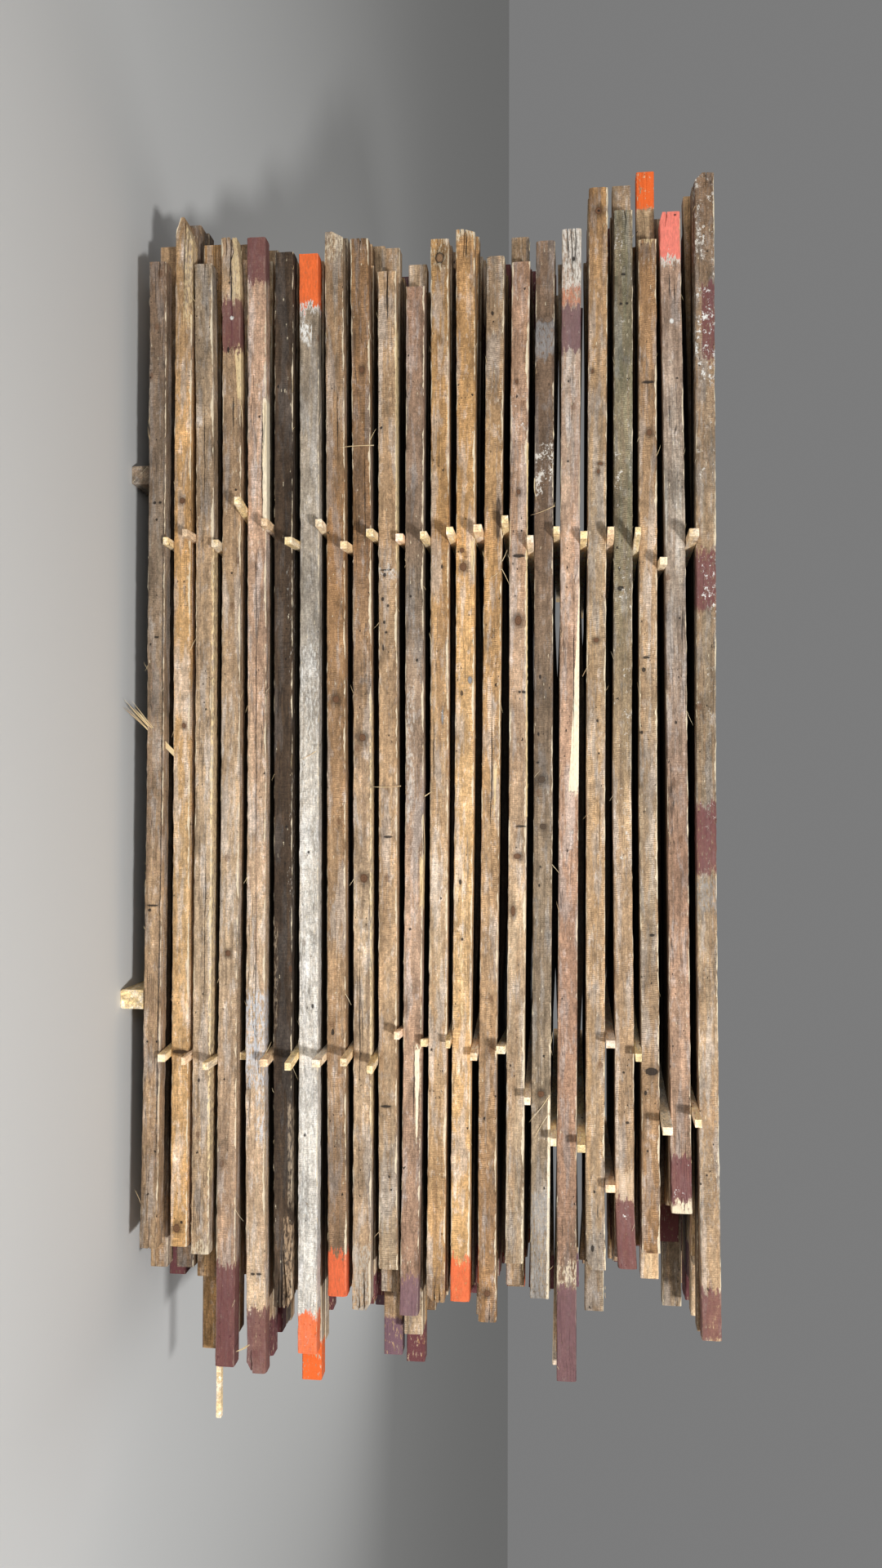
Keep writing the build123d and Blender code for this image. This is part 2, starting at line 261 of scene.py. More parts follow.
def sawn_wood_effect():
    """Grain, knots, saw marks, stains, cracks, nail holes and chips along a timber."""
    inputs = {
        "Vector": "Place",
        "Color": "Tone, Streak Tone",
        "Float": "Seed, Streaks, Blotches, Saw Marks, Cracks",
    }
    w, taken, given = new_effect("sawn_wood", inputs, {"Color": "Color", "Float": "Height"})
    place = w.moved(taken["Place"], w.stretched(taken["Seed"], (3.13, 1.71, 2.37)))
    x, y, z = w.split(place)
    flat = w.point(x, w.plus(y, z), 0.0)

    def where(low, high, sizes, detail, roughness=0.6):
        """The parts of a surface where a cloud pattern is above a range."""
        return w.rise(w.cloud(place, sizes, detail, roughness), low, high)

    mottle = w.cloud(place, (120.0, 170.0, 170.0), 3.0, 0.7)
    blotch = w.cloud(place, (5.0, 15.0, 15.0), 5.0, 0.62)

    def spots(sizes, ragged, core, edge, least):
        """Scattered spots with uneven edges. Only some cells have one."""
        values = {"Vector": w.stretched(flat, sizes), "Scale": 1.0}
        cell = w.node("TexVoronoi", values, voronoi_dimensions="2D")
        reach = w.plus(cell.outputs["Distance"], w.times(w.minus(mottle, 0.5), ragged))
        picked = w.rise(w.split(cell.outputs["Color"])[0], least, least + 0.02)
        return w.times(w.inverse(w.rise(reach, core, edge)), picked), reach, picked

    knot_halo, knot_reach, knot_here = spots((5.0, 8.0, 1.0), 0.06, 0.03, 0.22, 0.86)
    knot_core = w.times(w.inverse(w.rise(knot_reach, 0.05, 0.09)), knot_here)
    nail_hole = spots((12.0, 17.0, 1.0), 0.25, 0.04, 0.08, 0.94)[0]
    crowd = where(0.48, 0.6, (4.0, 9.0, 9.0), 2.0)
    speck = w.times(spots((40.0, 70.0, 1.0), 0.7, 0.06, 0.16, 0.9)[0], crowd)
    chip = spots((19.0, 84.0, 1.0), 1.1, 0.02, 0.14, 0.92)[0]

    wander = w.noise(w.stretched(place, (1.1, 10.0, 10.0)), 2.0)["Color"]
    lines = w.plus(w.times(w.plus(z, y), 430.0), w.times(w.split(wander)[0], 60.0))
    lines = w.math("SINE", w.plus(lines, w.times(knot_halo, 16.0)))
    late_here = w.plus(where(0.46, 0.58, (2.0, 40.0, 40.0), 3.0), knot_halo)
    late = w.times(w.rise(lines, 0.1, 0.95), late_here)
    wandering = w.stretched(wander, (0.0, 2.6, 2.6))
    streak_place = w.moved(w.stretched(place, (1.6, 60.0, 60.0)), wandering)
    streaks = w.noise(streak_place, 4.0, 0.66)["Fac"]
    fibres = w.cloud(place, (12.0, 420.0, 420.0))
    tone_drift = w.cloud(place, (2.0, 3.0, 3.0), 2.0)
    patina = w.cloud(place, (27.0, 66.0, 66.0))
    dust = w.times(where(0.56, 0.68, (15.0, 48.0, 40.0), 3.0, 0.7), 0.3)
    stain = where(0.58, 0.7, (4.2, 9.0, 9.0), 4.0)
    grey = where(0.5, 0.6, (3.1, 16.0, 26.0), 4.0, 0.66)
    scratch = w.cloud(place, (330.0, 30.0, 22.0))
    slant = w.point(w.plus(x, w.times(z, 0.14)), y, z)
    saw = w.waves(slant, 0.0078, 3.6, wave_type="BANDS", bands_direction="X")
    saw_here = where(0.44, 0.6, (5.0, 9.0, 24.0), 2.0, 0.65)
    saw_mark = w.product(saw, saw_here, taken["Saw Marks"])
    line = w.math("ABSOLUTE", w.minus(w.noise(streak_place, 2.0)["Fac"], 0.5))
    crack_here = where(0.5, 0.58, (2.1, 15.0, 15.0), 2.0)
    crack = w.product(w.inverse(w.rise(line, 0.004, 0.018)), crack_here, taken["Cracks"])

    share = w.times(w.spread(streaks, 0.4, 0.62, 0.0, 1.0), taken["Streaks"])
    colour = w.mix(share, taken["Tone"], taken["Streak Tone"])
    colour = w.mix(w.times(grey, 0.5), colour, w.retoned(taken["Tone"], 0.4, 1.12))
    colour = w.mix(w.times(knot_halo, 0.18), colour, taken["Streak Tone"])
    scratched = w.times(w.minus(scratch, 0.5), w.plus(w.times(saw_here, 0.8), 0.25))
    light = w.product(
        w.spread(fibres, 0.3, 0.7, 0.92, 1.07),
        w.spread(late, 0.0, 1.0, 1.05, 0.88),
        w.spread(mottle, 0.34, 0.66, 0.74, 1.28),
        w.spread(patina, 0.35, 0.65, 0.76, 1.16),
        w.spread(scratched, -0.14, 0.14, 0.82, 1.2),
        w.spread(w.times(w.minus(blotch, 0.5), taken["Blotches"]), -0.12, 0.12, 0.72, 1.26),
        w.spread(tone_drift, 0.34, 0.66, 0.84, 1.18),
        w.less(stain, w.times(taken["Blotches"], 0.42)),
        w.spread(saw_mark, 0.0, 1.0, 0.92, 1.4),
        w.less(knot_halo, 0.08),
    )
    colour = w.retoned(w.scaled(colour, light), 1.07)
    colour = w.mix(dust, colour, w.retoned(colour, 0.3, 1.6))
    colour = w.mix(w.times(knot_core, 0.5), colour, tone("knot_brown"))
    colour = w.mix(w.times(chip, 0.75), colour, tone("cream"))
    dark = w.math("MAXIMUM", w.math("MAXIMUM", crack, nail_hole), speck)
    w.link(w.mix(w.times(dark, 0.92), colour, tone("soot")), given["Color"])
    height = w.plus(w.times(fibres, 0.35), w.times(streaks, 0.4))
    height = w.plus(height, w.plus(w.times(mottle, 0.5), w.times(chip, 0.25)))
    height = w.plus(height, w.times(saw_mark, 0.6))
    w.link(w.minus(height, w.times(dark, 1.6)), given["Height"])
    return w.tree


def ragged_effect():
    """A place with an uneven edge to it, and a measure of how worn the surface is there."""
    inputs = {"Vector": "Place", "Float": "Seed"}
    outputs = {"Vector": "Place, Wavy Place", "Float": "Wear"}
    w, taken, given = new_effect("ragged_edge", inputs, outputs)
    place = w.moved(taken["Place"], w.stretched(taken["Seed"], (1.9, 3.3, 2.7)))
    shake = w.noise(w.stretched(place, (11.0, 44.0, 44.0)), 6.0, 0.7)["Color"]
    shift = w.stretched(w.moved(shake, (-0.5, -0.5, -0.5)), (0.16, 0.0, 0.012))
    w.link(w.moved(taken["Place"], shift), given["Place"])
    w.link(w.moved(taken["Place"], w.stretched(shift, (0.04, 0.0, 1.0))), given["Wavy Place"])
    w.link(w.cloud(place, (42.0, 150.0, 150.0), 5.0, 0.65), given["Wear"])
    return w.tree


def patch_effect():
    """Paint, dirt or fresh wood from start to end along a timber, between two lines on it."""
    inputs = {
        "Vector": "Place",
        "Color": "Color, Tone",
        "Float": "Wear, Start, End, Low, High, Low Slope, High Slope, Cover, Strength",
    }
    w, taken, given = new_effect("patch", inputs, {"Color": "Color"})
    end_blur, side_blur = 0.009, 0.0012
    x, _, z = w.split(taken["Place"])
    x = w.plus(x, w.times(w.minus(taken["Wear"], 0.5), 0.12))
    along = w.minus(x, taken["Start"])
    low = w.plus(taken["Low"], w.times(along, taken["Low Slope"]))
    high = w.plus(taken["High"], w.times(along, taken["High Slope"]))
    lengthwise = w.between(x, taken["Start"], taken["End"], end_blur)
    inside = w.times(lengthwise, w.between(z, low, high, side_blur))
    bare = w.times(w.inverse(taken["Cover"]), 0.5)
    kept = w.rise(taken["Wear"], w.plus(bare, 0.22), w.plus(bare, 0.36))
    mask = w.product(inside, kept, taken["Strength"])
    painted = w.scaled(taken["Tone"], w.spread(taken["Wear"], 0.3, 0.7, 0.8, 1.26))
    w.link(w.mix(mask, taken["Color"], painted), given["Color"])
    return w.tree


def knot_effect():
    """A knot, stain or hole: a dark ringed core with a softer halo, as an oval on the face."""
    inputs = {
        "Vector": "Place",
        "Color": "Color, Tone",
        "Float": "Wear, X, Z, Length, Height, Halo",
    }
    w, taken, given = new_effect("knot", inputs, {"Color": "Color"})
    x, _, z = w.split(taken["Place"])
    across = w.math("DIVIDE", w.minus(x, taken["X"]), w.times(taken["Length"], 0.5))
    up = w.math("DIVIDE", w.minus(z, taken["Z"]), w.times(taken["Height"], 0.5))
    reach = w.math("SQRT", w.plus(w.times(across, across), w.times(up, up)))
    reach = w.plus(reach, w.times(w.minus(taken["Wear"], 0.5), 0.5))
    core = w.inverse(w.rise(reach, 0.72, 1.0))
    rings = w.spread(w.math("SINE", w.times(reach, 17.0)), -1.0, 1.0, 0.72, 1.16)
    rings = w.times(rings, w.spread(reach, 0.55, 0.95, 1.0, 0.5))
    halo = w.times(w.inverse(w.rise(reach, 0.9, 2.2)), taken["Halo"])
    shaded = w.scaled(taken["Color"], w.less(halo, 0.55))
    inside = w.scaled(taken["Tone"], rings)
    w.link(w.mix(w.times(core, 0.9), shaded, inside), given["Color"])
    return w.tree


def splatter_effect():
    """Drops and specks of another tone between start and end."""
    inputs = {"Vector": "Place", "Color": "Color, Tone", "Float": "Start, End, Amount"}
    w, taken, given = new_effect("splatter", inputs, {"Color": "Color"})
    here = w.between(w.split(taken["Place"])[0], taken["Start"], taken["End"], 0.03)
    drops = w.cloud(taken["Place"], (52.0, 66.0, 66.0), 7.0, 0.8)
    crowd = w.cloud(taken["Place"], (14.0, 20.0, 20.0))
    drops = w.plus(drops, w.times(w.minus(crowd, 0.5), 0.4))
    bar = w.minus(0.72, w.times(taken["Amount"], 0.24))
    mask = w.times(w.rise(drops, bar, w.plus(bar, 0.05)), here)
    w.link(w.mix(mask, taken["Color"], taken["Tone"]), given["Color"])
    return w.tree


def end_grain_effect():
    """Rings and radial checks on the sawn end of a timber, darker than its sides."""
    inputs = {"Vector": "Place", "Color": "Color", "Float": "Seed"}
    w, taken, given = new_effect("end_grain", inputs, {"Color": "Color", "Float": "Height"})
    normal = w.node("NewGeometry", {}).outputs["Normal"]
    end = w.rise(w.math("ABSOLUTE", w.split(normal)[0]), 0.6, 0.8)
    shift = w.stretched(taken["Seed"], (1.0, 0.013, 0.017))
    spin = w.math("SINE", w.times(taken["Seed"], 47.0))
    pith = w.point(0.0, w.times(spin, 0.03), -0.02)
    flat = w.moved(w.stretched(taken["Place"], (0.0, 1.0, 1.0)), pith)
    bent = w.noise(w.moved(w.stretched(flat, (1.0, 25.0, 25.0)), shift), 2.0)["Color"]
    ring_place = w.moved(flat, w.stretched(bent, (0.0, 0.008, 0.008)))
    rings = w.waves(ring_place, 0.0046, 1.5, wave_type="RINGS", rings_direction="X")
    _, y, z = w.split(flat)
    angle = w.math("ARCTAN2", z, y)
    ray = w.point(w.times(angle, 5.0), w.times(taken["Seed"], 31.0), 0.0)
    rays = w.noise(w.moved(ray, w.stretched(bent, (0.6, 0.0, 0.0))), 2.0)["Fac"]
    check = w.inverse(w.rise(w.math("ABSOLUTE", w.minus(rays, 0.5)), 0.006, 0.03))
    rough = w.cloud(taken["Place"], (300.0, 300.0, 300.0), 4.0, 0.55)
    light = w.product(
        w.spread(rings, 0.0, 1.0, 0.72, 1.0),
        w.spread(rough, 0.3, 0.7, 0.8, 1.12),
        w.less(check, 0.65),
    )
    w.link(w.mix(end, taken["Color"], w.scaled(taken["Color"], light)), given["Color"])
    deep = w.minus(w.times(rough, 0.5), check)
    w.link(w.times(w.plus(deep, w.times(rings, 0.3)), end), given["Height"])
    return w.tree


def arris_wear_and_highlight_effect():
    """Torn wood along the upper and lower edges of the front, in long uneven stretches, partly a painted
    highlight where the upper edge catches the light from above.
    """
    inputs = {
        "Vector": "Place",
        "Color": "Color, Tone",
        "Float": "Seed, Wear, Half Height, Amount",
    }
    w, taken, given = new_effect("arris_wear_and_highlight", inputs, {"Color": "Color"})
    _, y, z = w.split(taken["Place"])
    place = w.moved(taken["Place"], w.stretched(taken["Seed"], (5.3, 2.9, 4.1)))
    front = w.rise(w.times(y, -1.0), 0.0305, 0.0335)
    shake = w.times(w.minus(taken["Wear"], 0.5), 0.008)
    mask = 0.0
    # Cream bands along the front's edges: torn wood, and partly a painted highlight, so the upper band,
    # which faces the light, is the wider
    for side, widest in ((1.0, 0.0135), (-1.0, 0.0075)):
        stretch = w.noise(w.moved(w.stretched(place, (3.4, 0, 0)), (0, side * 7, 0)), 4.0, 0.7)
        width = w.spread(stretch["Fac"], 0.42, 0.6, 0.0, widest)
        width = w.plus(w.times(width, taken["Amount"]), shake)
        rim = w.minus(taken["Half Height"], w.times(z, side))
        band = w.inverse(w.rise(rim, w.minus(width, 0.0006), w.plus(width, 0.0006)))
        mask = w.math("MAXIMUM", mask, band)
    mask = w.times(w.times(mask, front), 0.92)
    torn = w.scaled(taken["Tone"], w.spread(taken["Wear"], 0.3, 0.7, 0.82, 1.25))
    w.link(w.mix(mask, taken["Color"], torn), given["Color"])
    return w.tree


SAWN_WOOD = sawn_wood_effect()
RAGGED = ragged_effect()
PATCH = patch_effect()
KNOT = knot_effect()
SPLATTER = splatter_effect()
END_GRAIN = end_grain_effect()
ARRIS = arris_wear_and_highlight_effect()


def new_material(name):
    """An empty material, its wiring and its shader."""
    material = bpy.data.materials.new(name)
    material.use_nodes = True
    tree = material.node_tree
    tree.nodes.clear()
    shader = tree.nodes.new("ShaderNodeBsdfPrincipled")
    output = tree.nodes.new("ShaderNodeOutputMaterial")
    tree.links.new(shader.outputs[0], output.inputs["Surface"])
    return material, Wiring(tree), shader


def finish_surface(w, shader, colour, height):
    """Joins a colour and a height to the shader."""
    shader.inputs["Roughness"].default_value = ROUGHNESS
    shader.inputs["Specular IOR Level"].default_value = GLOSS
    w.link(colour, shader.inputs["Base Color"])
    values = {"Height": height, "Distance": RELIEF, "Strength": RELIEF_STRENGTH}
    w.link(w.node("Bump", values).outputs[0], shader.inputs["Normal"])


# The front timbers. tones run from the left end to the right end, at TONE_PLACES, and streak is
# the tone of the grain. The rest are shares from 0 to 1.
TONE_PLACES = (0.0, 0.3, 0.65, 1.0)
SEED_STEP = 1.37
Look = namedtuple("Look", "tones streak streaks blotches saw cracks worn")
LOOKS = {
    22: Look("umber drab drab tan", "brown", 0.5, 0.8, 0.4, 0.5, 0.6),
    21: Look("pink_brown ash pink_brown pink_tan", "umber", 0.6, 0.7, 0.3, 0.8, 0.5),
    20: Look("brown tan drab brown", "brown", 0.4, 0.6, 0.9, 0.3, 0.8),
    19: Look("green_grey green_grey tan tan", "umber", 0.5, 0.7, 1.0, 0.3, 0.4),
    18: Look("brown drab tan drab", "orange_tan", 0.4, 0.5, 0.8, 0.4, 0.6),
    17: Look("ash pink_tan pink_brown umber", "pink_brown", 0.6, 0.6, 0.4, 0.6, 0.5),
    16: Look("umber umber drab drab", "dark_brown", 0.5, 0.7, 0.4, 0.4, 0.5),
    15: Look("pink_brown pink_tan pale_tan drab", "brown", 0.5, 0.7, 0.5, 0.4, 1.0),
    14: Look("grey_brown orange_tan tan brown", "brown", 0.5, 0.8, 1.0, 0.4, 0.6),
    13: Look("brown orange_tan honey orange_tan", "orange_tan", 0.6, 0.6, 0.5, 0.5, 0.8),
    12: Look("orange_tan orange_tan pale_tan orange_tan", "brown", 0.6, 0.6, 0.4, 0.4, 0.8),
    11: Look("pink_brown grey_brown pink_tan pink_brown", "umber", 0.5, 0.8, 0.3, 0.5, 0.8),
    10: Look("tan tan tan drab", "brown", 0.4, 0.7, 0.6, 0.4, 0.8),
    9: Look("brown brown pale_tan tan", "umber", 0.6, 0.7, 0.4, 0.6, 0.8),
    8: Look("drab brown tan umber", "brown", 0.6, 0.7, 0.7, 0.4, 0.7),
    7: Look("drab ash bleached bleached", "grey_brown", 0.4, 0.8, 0.4, 0.4, 0.5),
    6: Look("dark_brown dark_brown dark_brown dark_brown", "soot", 0.4, 0.8, 0.2, 0.7, 0.5),
    5: Look("pink_tan pink_tan pale_tan pale_tan", "pink_brown", 0.5, 0.7, 0.3, 0.8, 0.7),
    4: Look("tan tan pale_tan pink_brown", "umber", 0.5, 0.8, 0.4, 0.5, 0.7),
    3: Look("drab tan pale_tan tan", "grey_brown", 0.5, 0.8, 0.3, 0.6, 1.0),
    2: Look("tan orange_tan honey orange_tan", "orange_tan", 0.6, 0.6, 0.5, 0.5, 0.8),
    1: Look("umber grey_brown tan tan", "umber", 0.5, 0.8, 0.3, 0.6, 0.5),
}

# Marks on the front timbers. start and end are places along the stack, x and z the middle of
# a spot. low, high and z are heights from the timber's axis, and the slopes tilt low and high.
Patch = namedtuple(
    "Patch",
    "tone start end low high cover strength low_slope high_slope",
    defaults=(-0.05, 0.05, 0.9, 0.9, 0.0, 0.0),
)
Knot = namedtuple("Knot", "tone x z length height halo", defaults=(0.6,))
Drops = namedtuple("Drops", "tone start end amount")


def paint(tone, start, end, strength=0.85):
    """Worn paint on the whole height of a timber."""
    return Patch(tone, start, end, cover=0.93, strength=strength)


def hole(x, z, length=0.009, height=0.009):
    """A nail hole or other black spot."""
    return Knot("soot", x, z, length, height, 0.3)


def knot(x, z, length=0.03, height=0.024):
    return Knot("knot_brown", x, z, length, height, 0.9)


def split(x, z, length, height=0.004):
    """A long dark crack along the grain."""
    return Knot("soot", x, z, length, height, 0.35)


MARKS = {
    22: [
        Patch("maroon", -1.974, -1.685, -0.012, 0.05, 0.8, 0.85),
        Patch("maroon", -0.951, -0.734, cover=0.8, strength=0.85),
        Patch("maroon", 0.009, 0.271, cover=0.8, strength=0.85),
        Patch("blue_grey", 0.302, 0.42, cover=0.6, strength=0.5),
        Patch("blue_grey", 1.1, 1.6, cover=0.4, strength=0.4),
        Patch("maroon", 1.822, 2.016, cover=0.85, strength=0.8),
        Drops("white", -1.96, -1.6, 0.75),
        Drops("bleached", -2.40, -2.0, 0.62),
        Drops("bleached", -1.5, 0.1, 0.4),
        Drops("white", -0.98, -0.7, 0.5),
        hole(-2.1, 0.01), hole(1.4, -0.01),
    ],
    21: [
        Patch("salmon", -2.30, -2.083, cover=0.97),
        Patch("bleached", -2.083, -2.066, cover=0.9),
        hole(-2.25, 0.02),
        Knot("white", -1.841, 0.0, 0.024, 0.018, 0.0),
        split(-1.98, -0.006, 0.12), split(-1.95, 0.012, 0.07),
        hole(-1.62, 0.016), hole(-0.7, 0.012),
        paint("maroon", 1.331, 1.514),
        Drops("white", 1.331, 1.514, 0.3),
        Patch("cream", 1.514, 1.6, cover=0.9),
    ],
    20: [
        Patch("straw", -2.2, -2.146, cover=0.7, strength=0.6),
        hole(-1.606, 0.0, 0.014, 0.052),
        knot(-1.411, 0.005),
        hole(-0.55, -0.008, 0.012, 0.03), hole(-0.503, -0.018, 0.022, 0.016),
        hole(0.505, 0.01, 0.012, 0.022), hole(1.019, 0.004, 0.034, 0.058),
        hole(1.1, -0.018, 0.02, 0.012),
        knot(1.701, 0.0, 0.02, 0.02),
    ],
    19: [
        hole(-2.029, 0.0, 0.012, 0.02), hole(-1.915, 0.014, 0.012, 0.012),
        hole(-1.915, -0.01, 0.012, 0.012), hole(-0.817, -0.01, 0.022, 0.03),
        hole(1.215, 0.01, 0.012, 0.016),
        Drops("bleached", -2.2, 0.3, 0.45),
        Patch("pale_tan", 1.40, 1.503, cover=0.8, strength=0.6),
        paint("maroon", 1.503, 1.8),
        Drops("white", 1.5, 1.6, 0.25),
    ],
    18: [
        knot(-2.282, 0.0, 0.036, 0.032),
        Knot("soot", -2.282, 0.0, 0.01, 0.012, 0.0),
        knot(-1.66, -0.02, 0.02, 0.014), knot(-1.30, 0.012, 0.014, 0.022),
        knot(-1.27, 0.004, 0.022, 0.014), knot(-0.62, 0.0, 0.022, 0.024),
        hole(-0.31, 0.006, 0.014, 0.01), hole(-0.185, 0.012),
        split(0.1, 0.016, 0.2, 0.003), split(1.55, 0.01, 0.06), split(1.694, -0.012, 0.03, 0.012),
    ],
    17: [
        Patch("bleached", -2.25, -1.976, cover=0.62, strength=0.8),
        split(-2.12, 0.014, 0.11), split(-2.09, 0.002, 0.13), split(-2.13, -0.012, 0.09),
        hole(-2.096, 0.008, 0.022, 0.012),
        Patch("rust", -1.976, -1.912, cover=0.7, strength=0.55),
        paint("maroon_brown", -1.912, -1.737),
        Patch("pink_brown", -1.72, -0.9, 0.016, 0.05, 0.7, 0.45),
        hole(-1.62, -0.008), hole(-1.31, -0.01),
        Patch("fresh_wood", -0.83, -0.037, 0.036, 0.05, 1.0, 1.0, -0.046),
        split(-0.5, 0.017, 0.5, 0.004),
        Drops("bleached", 0.08, 0.2, 0.4),
        Patch("cream", 1.76, 1.84, -0.05, 0.05, 0.55, 0.6),
        paint("maroon_brown", 1.84, 2.22, 0.88),
    ],
    16: [
        Patch("blue_grey", -1.853, -1.72, cover=0.7, strength=0.6),
        Knot("umber", -1.865, 0.01, 0.03, 0.04, 0.5),
        Drops("bleached", -1.40, -1.15, 0.7),
        hole(-0.48, -0.012, 0.02, 0.01), hole(-0.26, -0.018, 0.016, 0.01), hole(-0.15, -0.02),
        Knot("dark_brown", -0.085, -0.005, 0.03, 0.036, 0.8),
        Knot("dark_brown", 0.095, 0.0, 0.026, 0.03, 0.6),
        hole(0.25, -0.008), hole(0.32, -0.012, 0.014, 0.01),
        knot(1.116, 0.0, 0.03, 0.03),
        Patch("fresh_wood", 1.13, 1.887, 0.026, 0.05, 0.85, 0.95),
        Patch("blue_grey", 1.5, 1.95, cover=0.6, strength=0.5),
    ],
    15: [
        knot(-1.63, -0.01, 0.02, 0.016),
        Drops("white", -1.57, -1.45, 0.6),
        knot(-1.2, 0.0, 0.024, 0.02),
        Patch("straw", -1.395, 0.058, 0.031, 0.05, 0.95, 1.0),
        hole(-0.951, 0.002, 0.016, 0.056),
        knot(-0.70, 0.0, 0.046, 0.034),
        hole(-0.423, 0.022, 0.013, 0.018), hole(-0.423, 0.006, 0.012, 0.013),
        hole(0.095, 0.012, 0.009, 0.046),
        knot(0.21, 0.0, 0.026, 0.034), knot(0.42, -0.014, 0.05, 0.02),
        Patch("cream", 1.5, 1.763, 0.026, 0.05, 0.6, 0.8),
    ],
    14: [
        split(-0.14, 0.004, 0.4, 0.005),
        Patch("straw", -0.14, 0.06, 0.010, 0.026, 0.9, 0.85, 0.02, -0.05),
        split(0.04, 0.0, 0.12),
        knot(1.881, 0.0, 0.03, 0.03),
        hole(-1.9, -0.01, 0.02, 0.012),
        Knot("dark_brown", -1.1, 0.02, 0.2, 0.02, 0.5),
    ],
    13: [
        Patch("cream", -2.24, -2.2, cover=0.7, strength=0.7),
        split(-2.17, 0.004, 0.12, 0.006),
        Patch("straw", -1.02, -0.88, 0.018, 0.034, 0.8, 0.9, 0.05, -0.03),
        knot(-0.975, -0.014, 0.024, 0.022), knot(-0.91, -0.008, 0.042, 0.034),
        Knot("blue_grey", -0.47, 0.02, 0.034, 0.02, 0.5),
        Knot("dark_brown", -0.42, -0.012, 0.024, 0.013, 0.3),
        hole(0.31, -0.012, 0.024, 0.014), hole(0.53, 0.0, 0.014, 0.012),
        Patch("straw", 0.561, 0.843, -0.008, 0.0, 0.6, 0.8, 0.02, 0.02),
        paint("rust_red", 1.759, 1.95, 0.9),
    ],
    12: [
        Patch("cream", -2.25, -2.07, cover=0.5, strength=0.6),
        Knot("soot", -2.13, 0.0, 0.052, 0.044, 0.6),
        Knot("brown", -2.13, 0.0, 0.04, 0.032, 0.0),
        hole(-0.915, 0.01, 0.02, 0.011),
        Knot("blue_grey", -0.33, 0.012, 0.07, 0.009, 0.6),
        Drops("bleached", -0.46, -0.3, 0.42),
        split(-0.2, -0.022, 0.3),
        Patch("umber", 1.813, 1.95, cover=0.6, strength=0.6),
    ],
    11: [
        hole(-0.55, 0.01, 0.016, 0.011), hole(-0.8, -0.014, 0.012, 0.009),
        Patch("bleached", -0.45, 0.1, -0.03, 0.0, 0.5, 0.5),
        Patch("straw", 0.217, 0.407, 0.024, 0.05, 0.8, 0.9),
        Patch("fresh_wood", 0.958, 1.3, 0.008, 0.03, 0.97, 1.0, 0.03, -0.02),
        split(1.1, 0.008, 0.3),
        paint("purple", 1.836, 2.0),
    ],
    10: [
        split(-1.98, 0.002, 0.2, 0.006),
        Patch("straw", -1.85, -0.9, 0.032, 0.05, 0.7, 0.9),
        hole(-0.905, -0.006, 0.008, 0.056),
        Patch("white", -0.9, -0.893, cover=0.9),
        hole(-0.885, -0.012, 0.02, 0.013), hole(-0.79, -0.02, 0.018, 0.012),
        hole(-0.765, 0.0, 0.014, 0.01), hole(-0.70, -0.014, 0.016, 0.012),
        hole(-0.66, -0.006, 0.012, 0.012), hole(-0.60, -0.018, 0.03, 0.009),
        hole(0.138, 0.0, 0.011, 0.044), hole(1.18, -0.006, 0.012, 0.05), hole(1.5, 0.014),
    ],
    9: [
        knot(-0.25, 0.0, 0.036, 0.03), knot(0.3, 0.006, 0.04, 0.034),
        split(-1.2, 0.014, 0.4), split(0.9, -0.01, 0.5),
        knot(-1.7, 0.004, 0.03, 0.024),
        Patch("ash", 1.733, 2.0, cover=0.6, strength=0.7),
        Patch("straw", -0.4, 1.3, 0.030, 0.05, 0.6, 0.9),
    ],
    8: [
        Patch("cream", -2.28, -2.14, cover=0.5, strength=0.6),
        split(-1.5, 0.01, 0.3),
        knot(-0.4, 0.0, 0.034, 0.028),
        hole(0.9, -0.014, 0.03, 0.012),
        paint("rust_red", 1.75, 1.95, 0.9),
    ],
    7: [
        Patch("orange", -2.2, -1.958, cover=0.97),
        Patch("white", -1.958, -1.946, cover=0.9),
        Patch("white", -1.893, -1.811, -0.04, 0.012, 0.6),
        Patch("white", -0.6, 1.9, cover=0.45, strength=0.5),
        Patch("grey_brown", -1.6, 1.2, cover=0.12, strength=0.6),
        Drops("grey_brown", -1.7, 1.9, 0.3),
        hole(0.2, 0.0, 0.014, 0.01), hole(0.8, 0.016, 0.02, 0.01), hole(1.3, -0.012, 0.016, 0.01),
        Patch("orange", 1.993, 2.2, cover=0.95),
    ],
    6: [
        Patch("bleached", -0.938, -0.454, 0.012, 0.05, 0.3, 0.8, 0.03),
        Patch("bleached", -0.068, 0.444, 0.030, 0.05, 0.3, 0.8, -0.03),
        Patch("drab", 1.2, 1.6, 0.02, 0.05, 0.6, 0.8),
        Patch("tan", 1.652, 2.0, 0.0, 0.05, 0.6, 0.7),
        Patch("drab", 0.5, 0.9, -0.05, -0.02, 0.5, 0.6),
    ],
    5: [
        paint("maroon", -2.3, -2.066),
        Patch("fresh_wood", -1.6, -1.09, 0.022, 0.05, 0.97, 1.0, 0.0, 0.0),
        split(-1.35, 0.021, 0.5, 0.004), split(-0.4, -0.002, 1.3, 0.004),
        split(0.7, 0.002, 0.8, 0.003),
        Patch("milk_blue", 0.75, 1.116, cover=0.6, strength=0.6),
        Patch("milk_blue", 1.116, 1.34, 0.0, 0.05, 0.5, 0.5),
        hole(1.846, 0.014, 0.012, 0.02), hole(1.846, -0.01, 0.012, 0.02),
        paint("maroon", 1.981, 2.3),
    ],
    4: [
        Patch("straw", -2.3, -1.93, 0.004, 0.05, 0.7, 0.6),
        Patch("straw", -1.81, -1.6, 0.012, 0.05, 0.8, 0.8, 0.06),
        split(-2.02, 0.003, 0.5, 0.006),
        Patch("maroon", -2.005, -1.792, cover=0.9, strength=0.85),
        Knot("white", -1.929, 0.004, 0.02, 0.018, 0.0),
        split(-1.55, 0.008, 0.16, 0.005),
        hole(-1.8, -0.012, 0.03, 0.009),
        knot(0.6, 0.0, 0.03, 0.024),
        paint("maroon", 1.819, 2.3),
    ],
    3: [
